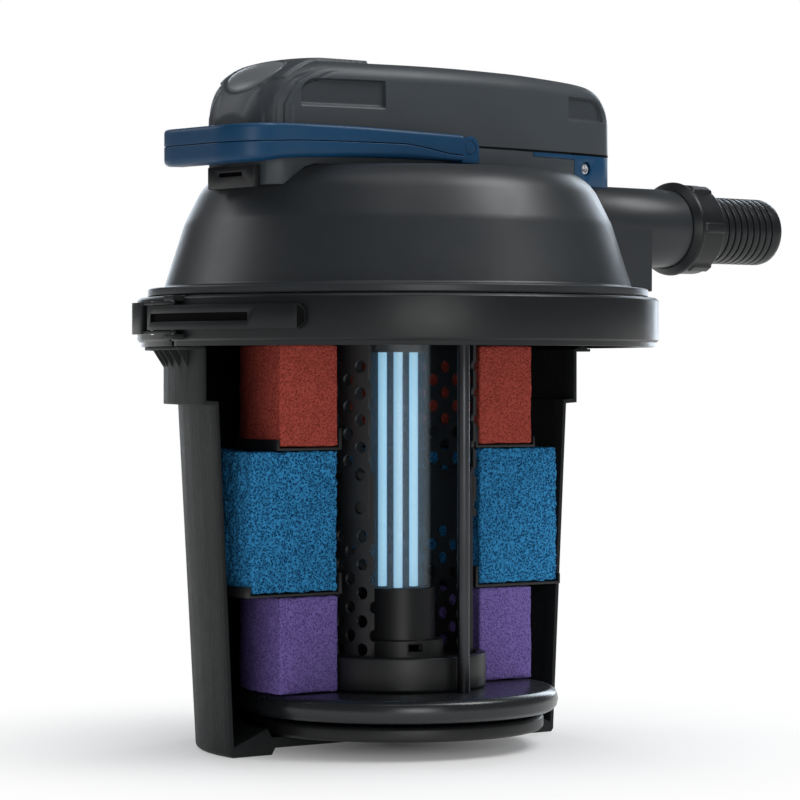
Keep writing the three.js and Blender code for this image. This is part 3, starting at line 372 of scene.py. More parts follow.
def box_piece(name, low, high, bevel, segments):
    (x0, y0, z0), (x1, y1, z1) = low, high
    verts = [(x, y, z) for x in (x0, x1) for y in (y0, y1) for z in (z0, z1)]
    faces = [(0, 1, 3, 2), (4, 6, 7, 5), (0, 4, 5, 1), (2, 3, 7, 6), (0, 2, 6, 4), (1, 5, 7, 3)]
    obj = mesh_object(name, verts, faces)
    soften(obj, bevel, segments)
    return obj


def soften(obj, width=0.0, segments=2, angle=30, from_cad=False):
    """Rounded edges that catch the light, and smooth shading that stops at the real corners."""
    if from_cad:
        obj.modifiers.new("weld", "WELD").merge_threshold = 1e-6
        flat = obj.modifiers.new("planar", "DECIMATE")
        flat.decimate_type = "DISSOLVE"
        flat.angle_limit = math.radians(0.6)
    if width > 0:
        bevel = obj.modifiers.new("bevel", "BEVEL")
        bevel.width = width * MM
        bevel.segments = segments
        bevel.limit_method = "ANGLE"
        bevel.angle_limit = math.radians(angle)
        bevel.use_clamp_overlap = True
    split = obj.modifiers.new("corners", "EDGE_SPLIT")
    split.split_angle = math.radians(angle + 4)


def bisect(obj, distance):
    """Cuts a piece by the plane that lies distance in front of the tank's own cut, and closes it."""
    bm = bmesh.new()
    bm.from_mesh(obj.data)
    co = Vector((AXIS_X, 0, 0)) + NORMAL * distance * MM
    geom = bm.verts[:] + bm.edges[:] + bm.faces[:]
    bmesh.ops.bisect_plane(bm, geom=geom, plane_co=co, plane_no=NORMAL, clear_outer=True)
    open_edges = [e for e in bm.edges if e.is_boundary]
    bmesh.ops.holes_fill(bm, edges=open_edges, sides=0)
    bmesh.ops.recalc_face_normals(bm, faces=bm.faces)
    bm.to_mesh(obj.data)
    bm.free()


# ------------------------------------------------------------ CAD nodes that stay

def dress(node, material, width):
    """Keeps a CAD node, with a material and softened edges of its own."""
    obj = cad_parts[node]
    obj.data.materials.clear()
    obj.data.materials.append(MATERIALS[material])
    if "custom_normal" in obj.data.attributes:
        obj.data.attributes.remove(obj.data.attributes["custom_normal"])
    for polygon in obj.data.polygons:
        polygon.use_smooth = True
        polygon.material_index = 0
    soften(obj, width, from_cad=True)


for node, material, width in [
    ("tank", "tank", 0.7),
    ("clamp_band", "band", 1.0), ("clamp_lever", "band", 1.1), ("clamp_link", "band", 0.9),
    ("lever_pin", "steel", 0.3), ("link_pin_upper", "steel", 0.3), ("link_pin_lower", "steel", 0.3),
    ("lid_gasket", "rubber", 0.5), ("outlet_seal", "rubber", 0.3), ("head_base", "head", 0.8),
    ("rear_bracket", "blue", 0.9), ("front_catch", "inner", 0.8),
    ("bracket_screw_left", "steel", 0.25), ("bracket_screw_right", "steel", 0.25),
    ("pull_ear_left", "blue", 0.8), ("pull_ear_right", "blue", 0.8),
    ("pivot_pin_left", "blue", 0.5), ("pivot_pin_right", "blue", 0.5),
    ("pull_rod_left", "rod", 0.4), ("pull_rod_right", "rod", 0.4),
    ("rod_seal_left", "rubber", 0.3), ("rod_seal_right", "rubber", 0.3),
    ("top_plate", "inner", 0.6), ("quartz_seal", "rubber", 0.5), ("lamp_base", "inner", 0.6),
    ("ballast", "inner", 1.5), ("spacer_upper", "inner", 0.4), ("spacer_lower", "inner", 0.4),
    ("guide_sleeve", "inner", 0.6), ("cup", "inner", 0.8), ("base_plate", "plate", 1.2),
    ("lower_disc", "inner", 0.8),
    ("quartz_sleeve", "quartz", 0.0), ("lamp_glass", "lamp_glass", 0.0),
    ("lamp_tube_1", "lamp", 0.3), ("lamp_tube_2", "lamp", 0.3), ("lamp_tube_3", "lamp", 0.3),
]:
    dress(node, material, width)

SLOT_HALF, SLOT_LOW, SLOT_HIGH = 13.1, 419.5, 422.5    # the catch's slot, painted near-black as painted shade, since light hardly reaches into it
GROOVE_HALF, GROOVE_FROM, GROOVE_TO = 3.1, 0.4, 3      # the lever's long groove, painted near-black as painted shade: half height and depths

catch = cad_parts["front_catch"]
catch_x = (min(v.co.x for v in catch.data.vertices) - AXIS_X) / MM
# painted shade: the slot's inside is given the near-black shade material
second_material(catch, "shade", lambda x, y, z: (
    x > catch_x + 0.2 and abs(y) < SLOT_HALF and SLOT_LOW < z < SLOT_HIGH))

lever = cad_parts["clamp_lever"]
lever_r = max(math.hypot(v.co.x - AXIS_X, v.co.y) for v in lever.data.vertices) / MM
lever_heights = [v.co.z / MM for v in lever.data.vertices]
lever_z = (min(lever_heights) + max(lever_heights)) / 2
# painted shade: the groove's walls and floor are given the near-black shade material
second_material(lever, "shade", lambda x, y, z: (
    GROOVE_FROM < lever_r - math.hypot(x, y) < GROOVE_TO and abs(z - lever_z) < GROOVE_HALF))


# ------------------------------------------------------------ lid

PIPE_BORE_R, PIPE_R = 24, 31.3
PIPE_FROM, PIPE_TO = 120, 310                 # the outlet pipe along X
SADDLE_FROM, SADDLE_TO = 128, 240             # the web under it
SADDLE_R, SADDLE_HALF, SADDLE_LOW = 31.2, 30.9, 343.5

dome = rounded([
    (0.01, 428), (131, 428), (146, 417), (160, 389), (175.2, 341.2), (187, 341), (187, 335), (176, 335),
    (176, 306), (172, 306), (172, 340), (157, 388), (141, 416), (128, 424.5), (0.01, 424.5)],
    [0, 14, 14, 3, 2.5, 1.5, 1, 0.5, 1, 1, 4, 4, 6, 8, 0], 6)
lid = lathe("lid_shell", dome, 192, closed=False)
finish_piece(lid, "lid_body", "lid", "black_plastic", "lid")

pipe_profile = rounded([
    (PIPE_BORE_R, PIPE_FROM), (PIPE_BORE_R, PIPE_TO), (PIPE_R, PIPE_TO), (PIPE_R, PIPE_FROM)],
    [0, 0.6, 1, 0], 3)
pipe = lathe("outlet_pipe", pipe_profile, 96, along_x=OUTLET_Z)
finish_piece(pipe, "lid_body", "lid", "black_plastic")


def outlet_saddle():
    """The web under the outlet: straight sides that run into the pipe's upper half without an edge."""
    angles = [math.pi * k / 32 for k in range(33)]
    section = [(SADDLE_R * math.cos(a), OUTLET_Z + SADDLE_R * math.sin(a)) for a in angles]
    foot = [(-SADDLE_HALF + 0.9, SADDLE_LOW - 0.5), (SADDLE_HALF - 0.9, SADDLE_LOW - 0.5)]
    section = [(SADDLE_HALF, SADDLE_LOW)] + section + [(-SADDLE_HALF, SADDLE_LOW)] + foot
    count = len(section)
    verts = [(x, y, z) for x in (SADDLE_FROM, SADDLE_TO - 0.8, SADDLE_TO) for y, z in section]
    for k, (y, z) in enumerate(section):
        verts[2 * count + k] = (SADDLE_TO, y * 0.975, max(SADDLE_LOW + 0.3, z))
    obj = mesh_object("outlet_saddle", verts, skin_faces(3, count))
    soften(obj, angle=35)
    return obj


finish_piece(outlet_saddle(), "lid_body", "lid", "black_plastic")


# ------------------------------------------------------------ outlet

RIB_FROM, RIB_TO = 295, 318                   # the nut's ribs along X
RIB_HALF, RIB_HEIGHT = 3.9, 1.9
RIB_PITCH = 60                                # degrees from rib to rib
TAIL_GROOVES, FIRST_GROOVE, GROOVE_PITCH = 9, 324.6, 7.27


def union_nut():
    """The coupling nut, its ribs raised out of a dense lathe."""
    profile = rounded([
        (31.7, 285.2), (37.4, 290.8), (37.8, 293.6), (36.2, 294.6), (35.9, 318), (28.4, 323), (27.5, 323),
        (27.5, 316), (31.7, 316)], [1, 1.2, 1, 0.6, 1.4, 0.8, 0.3, 0.3, 0.3], 4)
    dense = []
    for (r0, h0), (r1, h1) in zip(profile, profile[1:] + profile[:1]):
        steps = max(1, int(abs(h1 - h0) / 1.2))
        dense += [(r0 + (r1 - r0) * k / steps, h0 + (h1 - h0) * k / steps) for k in range(steps)]
    obj = lathe("coupling_nut", dense, 288, along_x=OUTLET_Z)
    for vertex in obj.data.vertices:
        x, y, z = (vertex.co.x - AXIS_X) / MM, vertex.co.y / MM, vertex.co.z / MM - OUTLET_Z
        r = math.hypot(y, z)
        if r < 34.5 or not RIB_FROM < x < RIB_TO + 1:
            continue
        angle = (math.degrees(math.atan2(z, y)) + RIB_PITCH / 2) % RIB_PITCH - RIB_PITCH / 2
        side = max(0.0, min(1.0, (RIB_HALF - abs(angle) * r * math.pi / 180) / 0.7))
        ends = max(0.0, min(1.0, x - RIB_FROM, (RIB_TO - x) / 1.2))
        lift = (RIB_HEIGHT * side * ends + r) / r
        vertex.co.y, vertex.co.z = y * lift * MM, (z * lift + OUTLET_Z) * MM
    return obj


finish_piece(union_nut(), "nut_body", "band", "black_plastic", "union_nut")

tail = [(22, 313), (30.6, 313), (30.6, 315.6), (27.1, 315.6)]
for i in range(TAIL_GROOVES):
    at = FIRST_GROOVE + GROOVE_PITCH * i
    tail += [(27.1, at - 0.1), (24.8, at + 0.1), (24.8, at + 1.1), (27.1, at + 1.8)]
tail += [(27.1, 392), (26.4, 395.4), (24.6, 397), (22.6, 397), (22, 396)]
ribbed_tail = lathe("ribbed_tail", rounded(tail, 0.35, 3), 128, along_x=OUTLET_Z)
finish_piece(ribbed_tail, "lid_body", "band", "black_plastic", "hose_tail")


# ------------------------------------------------------------ head cover and window

# half the cover's width, and its height, along X
PLAN = [
    (-160, 18), (-157.5, 26), (-153, 33.5), (-146, 39.5), (-139, 42.3), (-133, 43.5), (-100, 51), (-60, 59),
    (-20, 64.5), (20, 66), (60, 65.5), (100, 62.5), (140, 58.5), (160, 55), (170, 51), (176, 45), (177, 43.5)]
TOP = [
    (-160, 462), (-157.5, 469.8), (-155, 476), (-150, 484.3), (-145.5, 489.7), (-136, 496.8), (-126, 500.6),
    (-117, 502.3), (-107, 503.2), (-60, 503.4), (0, 503.6), (60, 503.1), (117, 501.2), (147, 499.1),
    (158, 496.6), (166, 491.6), (171, 485.4), (174.5, 476), (177, 462)]
# moulded lines on the head's side: heights, and the line's X at each
HOOD_EDGE = [(440, -154), (468, -153.8), (477, -152), (485, -147.5), (494, -136), (499, -123), (503, -108)]
FLUTE_FRONT = [(440, -149.5), (475, -148.5), (484, -142), (490.5, -134), (497, -118), (501, -100)]
FLUTE_BACK = [(440, -142.5), (470, -141.5), (480, -136), (487, -130.3), (495.6, -114), (500, -95)]
COVER_FOOT = 446.0                            # where the cover meets the head's base
NOSE_FOOT, NOSE_TO = 450.0, -153              # the foot of its nose, and the X up to which that reaches
PEAK_LIFT = 0.9                               # how far the middle of the top stands above TOP
SIDE_LEAN = 0.02                              # how much the sides lean in
POCKET_DEPTH = 2.6
WINDOW_X = -136.5                             # the light window's middle
SEAT_X, SEAT_Y = 16.6, 27.2                   # half the length and width of its seat
SEAT_PLAY = 0.4
SIDE_STEPS, CORNER_STEPS, TOP_STEPS = 70, 40, 44


def smooth_curve(points, reach):
    """A smooth function through points that never swings past them, eased over a few millimetres."""
    x, y = (np.array(v, dtype=float) for v in zip(*points))
    gap = np.diff(x)
    slope = np.diff(y) / gap
    tangent = np.concatenate([[slope[0]], np.zeros(len(x) - 2), [slope[-1]]])
    for i in range(1, len(x) - 1):
        if slope[i - 1] * slope[i] > 0:
            w1, w2 = 2 * gap[i] + gap[i - 1], gap[i] + 2 * gap[i - 1]
            tangent[i] = (w1 + w2) / (w1 / slope[i - 1] + w2 / slope[i])
    xs = np.arange(x[0], x[-1] + 0.25, 0.5)
    k = np.clip(np.searchsorted(x, xs) - 1, 0, len(gap) - 1)
    t = np.clip((xs - x[k]) / gap[k], 0, 1)
    ys = (y[k] * (1 + 2 * t) * (1 - t) ** 2 + gap[k] * tangent[k] * t * (1 - t) ** 2
          + y[k + 1] * t * t * (3 - 2 * t) + gap[k] * tangent[k + 1] * t * t * (t - 1))
    width = int(reach * 2)
    window = np.hanning(2 * width + 1)
    padded = np.concatenate([2 * ys[0] - ys[width:0:-1], ys, 2 * ys[-1] - ys[-2:-width - 2:-1]])
    ys = np.convolve(padded, window / window.sum(), "valid")
    return lambda at: float(np.interp(at, xs, ys))


half_width = smooth_curve(PLAN, 4)
top_height = smooth_curve(TOP, 4)


def beyond_line(points):
    """How far a point of the head's side lies behind a moulded line, measured square to it."""
    zs, xs = zip(*points)

    def line_x(z):
        return float(np.interp(z, zs, xs))

    def beyond(x, z):
        slope = (line_x(z + 1.5) - line_x(z - 1.5)) / 3
        return (x - line_x(z)) / math.hypot(1, slope)

    return beyond


hood_edge = beyond_line(HOOD_EDGE)
flute_front = beyond_line(FLUTE_FRONT)
flute_back = beyond_line(FLUTE_BACK)


def step(value, low, high):
    """0 below low, 1 above high and a smooth rise between them."""
    t = max(0.0, min(1.0, (value - low) / (high - low)))
    return t * t * (3 - 2 * t)


def pocket(x, z, x0, x1, z0, z1, corner, left=True):
    """Depth share of a pocket with one large upper corner and a sloping lower edge."""
    inside = min((x - x0) / 0.9, (x1 - x) / 0.9, (z1 - z) / 0.9, (z - z0) / 3.6)
    cx = x0 + corner if left else x1 - corner
    cz = z1 - corner
    if (x < cx if left else x > cx) and z > cz:
        inside = min(inside, (corner - math.hypot(x - cx, z - cz)) / 0.9)
    return step(inside, 0, 1)


def nose_pocket(x, z):
    return pocket(x, z, -129.5, -62, 469, 490, 13)


def outlet_pocket(x, z):
    return pocket(x, z, 119.7, 161.5, 469.7, 489, 15, left=False)


def crown(x):
    """How far the top falls from its middle to its edge."""
    return 0.9 + 2.0 * (1 - step(x, -138, -100))


def hood_lift(x):
    """How far the hood over the nose and its flat tail on the top stand above the cover."""
    return float(np.interp(x, [-160, -150, -136, -123, -108], [0.6, 0.8, 1.4, 2.1, 2.8]))


def hood_half(x):
    """Half the width of the hood's flat tail."""
    return float(np.interp(x, [-140, -123, -107, -60], [37.5, 37, 34.5, 34.5]))


def head_relief(x, y, z, across):
    """How far the cover's surface is raised; across is the share of the plain surface's normal along Y."""
    d = 0.0
    if across > 0.8:
        d -= POCKET_DEPTH * nose_pocket(x, z)
        d -= POCKET_DEPTH * outlet_pocket(x, z)
    if x < -57:
        side = step(-hood_edge(x, z), 0, 0.9) if z < 499.5 else 0
        above = step(hood_half(x) - abs(y), 0, 2) if z > 489 else 0
        d += hood_lift(x) * max(side, above) * (1 - step(x, -59, -58.1))
    if across > 0.12 and x < -85:
        fade = 1 - step(z, 490, 499)
        d -= 1.3 * fade * step(flute_front(x, z), 0, 1.6) * (1 - step(flute_back(x, z), -1.6, 0))
        d -= 0.7 * fade * step(flute_back(x, z), 3, 4.6) * (1 - step(flute_back(x, z), 5, 6.6))
    if across < 0.6:
        ring = math.hypot((x - WINDOW_X) / SEAT_X, y / SEAT_Y)
        d -= 1.0 * (1 - step(ring, 1.0, 1.05))
    return d


def cover_ring(x):
    """One upright ring of the plain cover, finely divided for its relief."""
    half = half_width(x)
    peak = top_height(x) + PEAK_LIFT
    top = peak - crown(x)
    foot = NOSE_FOOT if x < NOSE_TO else COVER_FOOT
    edge = min(15.0, half * 0.6, (top - foot) * 0.6)
    ring = []
    for k in range(SIDE_STEPS):
        z = foot + (top - edge - foot) * k / SIDE_STEPS
        ring.append((half - SIDE_LEAN * (z - COVER_FOOT), z))
    flat = half - SIDE_LEAN * (top - edge - COVER_FOOT) - edge
    for k in range(CORNER_STEPS):
        a = math.pi / 2 * k / CORNER_STEPS
        ring.append((flat + edge * math.cos(a), top - edge + edge * math.sin(a)))
    for k in range(TOP_STEPS):
        share = 1 - k / TOP_STEPS
        ring.append((flat * share, peak - crown(x) * share ** 2))
    return [(x, -y, z) for y, z in ring] + [(x, 0, peak)] + [(x, y, z) for y, z in reversed(ring)]


def head_cover():
    """The grey cover: a skin over its rings, with the hood, flutes, pockets and window seat as relief."""
    xs = np.concatenate([
        np.arange(-160, -95, 0.6), np.arange(-95, -60, 1.0), np.arange(-60, -56, 0.35),
        np.arange(-56, 116, 3.0), np.linspace(116, 177, 103)])
    rings = [cover_ring(x) for x in xs]
    verts = [point for ring in rings for point in ring]
    obj = mesh_object("cover_shell", verts, skin_faces(len(rings), len(rings[0])))
    normals = [v.normal.copy() for v in obj.data.vertices]
    for vertex, normal in zip(obj.data.vertices, normals):
        x, y, z = (vertex.co.x - AXIS_X) / MM, vertex.co.y / MM, vertex.co.z / MM
        if -159.6 < x < 176.6 and z > COVER_FOOT + 1:
            vertex.co += normal * head_relief(x, y, z, abs(normal.y)) * MM
    soften(obj, angle=40)
    return obj


cover = finish_piece(head_cover(), "lid_body", "head", "grey_plastic", "head_cover")
# painted shade: the pockets are given a darker copy of the head's plastic
second_material(cover, "recess_shade", lambda x, y, z: (
    abs(y) > 25 and max(nose_pocket(x, z), outlet_pocket(x, z)) > 0.6))


def parting_line_shadow():
    """A near-black band of painted shadow laid over the seam between the head's cover and its base."""
    side = [(x, -half_width(x) - 0.1) for x in np.arange(-152.5, 176.9, 1.5)]
    outline = side + [(x, -y) for x, y in reversed(side)]
    return prism("parting_line_shadow", outline, COVER_FOOT - 0.8, COVER_FOOT + 0.3, smooth=False)


finish_piece(parting_line_shadow(), "lid_body", "shade", "black_plastic")


def window_lens():
    """The oval light window, which follows the hood's curved top and dips at its rim."""
    verts = []
    rings, around = 14, 64
    for i in range(rings + 1):
        t = i / rings
        for k in range(around):
            a = 2 * math.pi * k / around
            x = WINDOW_X + (SEAT_X - SEAT_PLAY) * t * math.cos(a)
            y = (SEAT_Y - SEAT_PLAY) * t * math.sin(a)
            z = top_height(x) + PEAK_LIFT - crown(x) * (y / max(20, half_width(x) - 15)) ** 2
            lean = (top_height(x + 1) - top_height(x - 1)) / 2
            rise = (hood_lift(x) - 0.1 - 0.9 * t ** 12) / math.hypot(1, lean)
            verts.append((x - lean * rise, y, z + rise))
    obj = mesh_object("light_window", verts, skin_faces(rings + 1, around, capped=False))
    obj.modifiers.new("thick", "SOLIDIFY").thickness = 0.8 * MM
    return with_modifiers(obj)


finish_piece(window_lens(), "lid_body", "lens", "lens", "window_lens")


# ------------------------------------------------------------ handle

# the handle lying flat: half its outer and inner width along X, then its three heights along X
OUTER = [
    (-9.5, 84), (-35, 82.5), (-60, 80), (-80, 76), (-100, 71), (-120, 66.8), (-140, 61.6), (-150, 58.2),
    (-163.6, 53.7)]
INNER = [(-9.5, 72), (-35, 71), (-60, 69), (-80, 65), (-100, 60), (-120, 54.6), (-140, 48.4), (-155, 43.5)]
HANDLE_TOP = [
    (-194, 452), (-178, 454.2), (-165, 455.1), (-150, 455.6), (-130, 455.3), (-100, 454.8), (-60, 453.4),
    (-9, 452)]
HANDLE_SPLIT = [
    (-194, 440.5), (-165, 442), (-140, 443.2), (-100, 443.4), (-62, 443.2), (-45, 441.5), (-22, 437.8),
    (-9, 436.8)]
HANDLE_LOW = [(-194, 426.2), (-165, 428.6), (-150, 431), (-120, 432.2), (-100, 432.6), (-9, 433)]
HANDLE_START = -9.5                           # where both edges begin, by the ears
OUTER_BEND, OUTER_BEND_R = (-163.6, 23.7), 30
INNER_BEND, INNER_BEND_R = (-155, 25.5), 18
TONGUE_Y, TONGUE_HALF = 75, 2                 # the tongues' middle, either side, and half their thickness
TONGUE_IN_R, TONGUE_OUT_R = 5.4, 8.1
SPLIT_GAP = 0.25                              # half the gap between the handle's two shells


def edge_y(edge, x):
    return float(np.interp(-x, [-p[0] for p in edge], [p[1] for p in edge]))


def handle_path():
    """Matching points of the handle's outer and inner edge, from one ear round to the other."""
    (xo, yo), (xi, yi) = OUTER_BEND, INNER_BEND
    pairs = []
    for k in range(61):
        out = HANDLE_START + (xo - HANDLE_START) * k / 60
        into = HANDLE_START + (xi - HANDLE_START) * k / 60
        pairs.append(((out, edge_y(OUTER, out)), (into, edge_y(INNER, into))))
    for k in range(1, 25):
        a = math.pi / 2 * k / 24
        pairs.append((
            (xo - OUTER_BEND_R * math.sin(a), yo + OUTER_BEND_R * math.cos(a)),
            (xi - INNER_BEND_R * math.sin(a), yi + INNER_BEND_R * math.cos(a))))
    for k in range(1, 13):
        t = k / 12
        pairs.append(((xo - OUTER_BEND_R, yo * (1 - t)), (xi - INNER_BEND_R, yi * (1 - t))))
    return pairs + [((a[0], -a[1]), (b[0], -b[1])) for a, b in reversed(pairs[:-1])]


def handle_shell(name, low, high, low_round, high_round, lift_low, lift_high):
    """One of the handle's two shells: a rounded section carried along the path, between two heights."""
    low_at, high_at = smooth_curve(low, 6), smooth_curve(high, 6)
    verts = []
    pairs = handle_path()
    for outer, inner in pairs:
        o, i = Vector(outer), Vector(inner)
        width = (o - i).length
        z0 = low_at((o.x + i.x) / 2) + lift_low
        z1 = high_at((o.x + i.x) / 2) + lift_high
        corners = [(0, z0), (width, z0), (width, z1), (0, z1)]
        section = rounded(corners, [low_round, low_round, high_round, high_round], 5)
        for s, z in section:
            p = i.lerp(o, s / width)
            verts.append((p.x, p.y, z))
    obj = mesh_object(name, verts, skin_faces(len(pairs), len(section)))
    soften(obj, angle=40)
    return obj


upper = handle_shell("handle_top", HANDLE_SPLIT, HANDLE_TOP, 0.6, 3.4, SPLIT_GAP, 0)
finish_piece(upper, "handle_body", "blue", "blue_plastic", "handle_upper")
lower = handle_shell("handle_under", HANDLE_LOW, HANDLE_SPLIT, 4.6, 0.6, 0, -SPLIT_GAP)
finish_piece(lower, "handle_body", "blue", "blue_plastic", "handle_lower")
for side, name in ((-1, "left"), (1, "right")):
    section = rounded([
        (TONGUE_IN_R, -TONGUE_HALF), (TONGUE_OUT_R, -TONGUE_HALF),
        (TONGUE_OUT_R, TONGUE_HALF), (TONGUE_IN_R, TONGUE_HALF)], 0.4, 2)
    eye = lathe("tongue_" + name, section, 48)
    for vertex in eye.data.vertices:
        x, y, z = vertex.co.x - AXIS_X, vertex.co.y, vertex.co.z
        vertex.co = (x + AXIS_X, z + side * TONGUE_Y * MM, y + PIVOT_Z * MM)
    eye.data.update()
    finish_piece(eye, "handle_body", "blue", "blue_plastic")
    y = side * TONGUE_Y
    low, high = (-12, y - TONGUE_HALF, PIVOT_Z - 6), (-5.6, y + TONGUE_HALF, PIVOT_Z - 0.5)
    bar = box_piece("tongue_bar_" + name, low, high, 0.3, 2)
    finish_piece(bar, "handle_body", "blue", "blue_plastic")


# ------------------------------------------------------------ foams

FOAM_IN = 67.5                                # the foams' inner radius
FOAM_CUT = 15                                 # how far in front of the tank's cut they end
NOTCH_HALF, NOTCH_TO = 5.6, 78.9              # room for the rear rod


def foam_ring(name, r_out, z0, z1, voxel, coarse, amount, fine_amount):
    """A foam ring cut like the tank, remeshed finely and roughened."""
    reach_out, reach_in = math.acos(FOAM_CUT / r_out), math.acos(FOAM_CUT / FOAM_IN)
    outline = []
    for k in range(97):
        a = CUT_FACING + reach_out + (2 * math.pi - 2 * reach_out) * k / 96
        outline.append((r_out * math.cos(a), r_out * math.sin(a)))
    for k in range(61):
        a = CUT_FACING + reach_in + (2 * math.pi - 2 * reach_in) * (1 - k / 60)
        x, y = FOAM_IN * math.cos(a), FOAM_IN * math.sin(a)
        if y > 0 and abs(x) < NOTCH_HALF:
            y = NOTCH_TO
        outline.append((x, y))
    obj = prism(name, outline, z0, z1)
    remesh = obj.modifiers.new("remesh", "REMESH")
    remesh.mode = "VOXEL"
    remesh.voxel_size = voxel * MM
    with_modifiers(obj)
    normals = [v.normal.copy() for v in obj.data.vertices]
    for vertex, normal in zip(obj.data.vertices, normals):
        p = vertex.co / MM
        swell = noise.noise(p / 16) * 0.5
        cells = noise.noise(p / coarse) * amount
        cells += noise.noise(p / (coarse * 0.45)) * fine_amount
        vertex.co += normal * (swell + cells - 0.35 - amount * 0.4) * MM
    for polygon in obj.data.polygons:
        polygon.use_smooth = True
    return obj


for name, r_out, z0, z1, voxel, coarse, amount, fine_amount, body, anchor, keep in (
    ("red", 119, 224.3, 300, 1.9, 3.4, 0.35, 0.25, "lid_body", 0.3, 0.82),
    ("blue", 144, 118.3, 221.7, 1.8, 4.6, 1.15, 0.8, "spacer_upper_body", 0.2217, 0.815),
    ("purple", 119, 44.3, 115.7, 1.9, 3.4, 0.35, 0.25, "spacer_lower_body", 0.1157, 0.82),
):
    foam = foam_ring("foam_" + name + "_cells", r_out, z0, z1, voxel, coarse, amount, fine_amount)
    finish_piece(foam, body, "foam_" + name, "foam_" + name, "foam_" + name)
    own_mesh(foam)


# ------------------------------------------------------------ perforated cages

COLUMNS = 34
FIRST = math.radians(-169.7)                  # the first column's angle
PITCH = 2 * math.pi / COLUMNS                 # the angle from column to column
CAGE_CUT = 30.5                               # how far in front of the tank's cut the cages end
HOLE_R = 4.7
WALL = 2.3


def hole_frame(low, middle, top):
    """The points round a hole's oblong frame: shares of half a column's width, and heights."""
    flat = [i / 4 - 1 for i in range(9)]
    upright = [low + (middle - low) * i / 4 for i in (1, 2, 3, 4)]
    upright += [middle + (top - middle) * i / 4 for i in (1, 2, 3)]
    frame_points = [(a, low) for a in flat] + [(1, z) for z in upright]
    return frame_points + [(-a, top) for a in flat] + [(-1, z) for z in reversed(upright)]


def perforated(name, r, z0, z1, levels, holes_even, holes_odd):
    """A tube with round holes in staggered columns; a hole's middle is one of the levels."""
    verts, faces = [], []
    half_angle = PITCH / 2
    marks = [z0] + sorted(levels) + [z1]

    def at(angle, z):
        verts.append((r * math.cos(angle), r * math.sin(angle), z))
        return len(verts) - 1

    def plain(centre, low, high):
        for i in range(8):
            a, b = i / 4 - 1, i / 4 - 0.75
            faces.append((at(centre + a * half_angle, low), at(centre + b * half_angle, low),
                          at(centre + b * half_angle, high), at(centre + a * half_angle, high)))

    def pierced(centre, low, middle, top):
        square = hole_frame(low, middle, top)
        rim = [at(centre + a * half_angle, z) for a, z in square]
        ring = []
        for a, z in square:
            dx, dz = a * half_angle * r, z - middle
            scale = HOLE_R / math.hypot(dx, dz)
            ring.append(at(centre + dx * scale / r, middle + dz * scale))
        for j in range(len(square)):
            after = (j + 1) % len(square)
            faces.append((rim[j], rim[after], ring[after], ring[j]))

    for column in range(COLUMNS):
        centre = FIRST + column * PITCH
        if math.cos(centre - CUT_FACING) * r > CAGE_CUT + 8:
            continue                          # the cut takes the whole column away
        holes = holes_even if column % 2 == 0 else holes_odd
        k = 0
        while k < len(marks) - 1:
            if any(abs(marks[k + 1] - z) < 0.2 for z in holes) and k + 2 < len(marks):
                pierced(centre, marks[k], marks[k + 1], marks[k + 2])
                k += 2
            else:
                plain(centre, marks[k], marks[k + 1])
                k += 1
    obj = mesh_object(name, verts, faces)
    solid = obj.modifiers.new("wall", "SOLIDIFY")
    solid.thickness = WALL * MM
    solid.offset = -1
    solid.use_even_offset = False
    with_modifiers(obj)
    bisect(obj, CAGE_CUT)
    soften(obj, angle=35)
    return obj


UPPER_STEP, LOWER_STEP = 9.9, 10.4            # from level to level in either cage

upper_levels = [179.3, 187.0] + [194.1 + UPPER_STEP * m for m in range(11)]
upper_even = [273.3 - 2 * UPPER_STEP * i for i in range(4)]
upper_odd = [283.2 - 2 * UPPER_STEP * i for i in range(5)] + [179.3]
tube = perforated("cage_upper_tube", 59, 171, 300.7, upper_levels, upper_even, upper_odd)
finish_piece(tube, "lid_body", "inner", "black_plastic", "cage_upper")

lower_levels = [75 + LOWER_STEP * m for m in range(13)]
lower_even = [85.4 + 2 * LOWER_STEP * i for i in range(4)]
lower_odd = [75 + 2 * LOWER_STEP * i for i in range(5)]
tube = perforated("cage_lower_tube", 56.4, 67, 205, lower_levels, lower_even, lower_odd)
finish_piece(tube, "pull_body", "inner", "black_plastic", "cage_lower")


# ------------------------------------------------------------ floor, light and camera

def pale_floor():
    """A pale floor that keeps the soft shadow near the part and turns plain white further out."""
    n = Nodes("floor")
    shader = n.add("ShaderNodeBsdfPrincipled", Roughness=0.75)
    shader.inputs["Base Color"].default_value = (0.96, 0.96, 0.96, 1)
    shader.inputs["Specular IOR Level"].default_value = 0.2
    white = n.add("ShaderNodeEmission", Strength=1.0)
    away = n.add("ShaderNodeVectorMath", operation="LENGTH")
    n.link(n.coord, away.inputs[0])
    far = n.add("ShaderNodeMapRange", interpolation_type="SMOOTHSTEP")
    far.inputs["From Min"].default_value = -0.05
    far.inputs["From Max"].default_value = 0.46
    n.link(away.outputs["Value"], far.inputs["Value"])
    mix = n.add("ShaderNodeMixShader")
    n.link(far.outputs["Result"], mix.inputs["Fac"])
    n.link(shader.outputs["BSDF"], mix.inputs[1])
    n.link(white.outputs["Emission"], mix.inputs[2])
    n.link(mix.outputs["Shader"], n.out.inputs["Surface"])
    return n.mat


FLOOR_R, FLOOR_Z = 30, -0.0002                # metres; just under the part, so the two don't share a face

bpy.ops.mesh.primitive_circle_add(
    vertices=96, radius=FLOOR_R, fill_type="NGON", location=(AXIS_X, 0, FLOOR_Z))
floor = bpy.context.object
floor.name = "floor"
floor.data.materials.append(pale_floor())


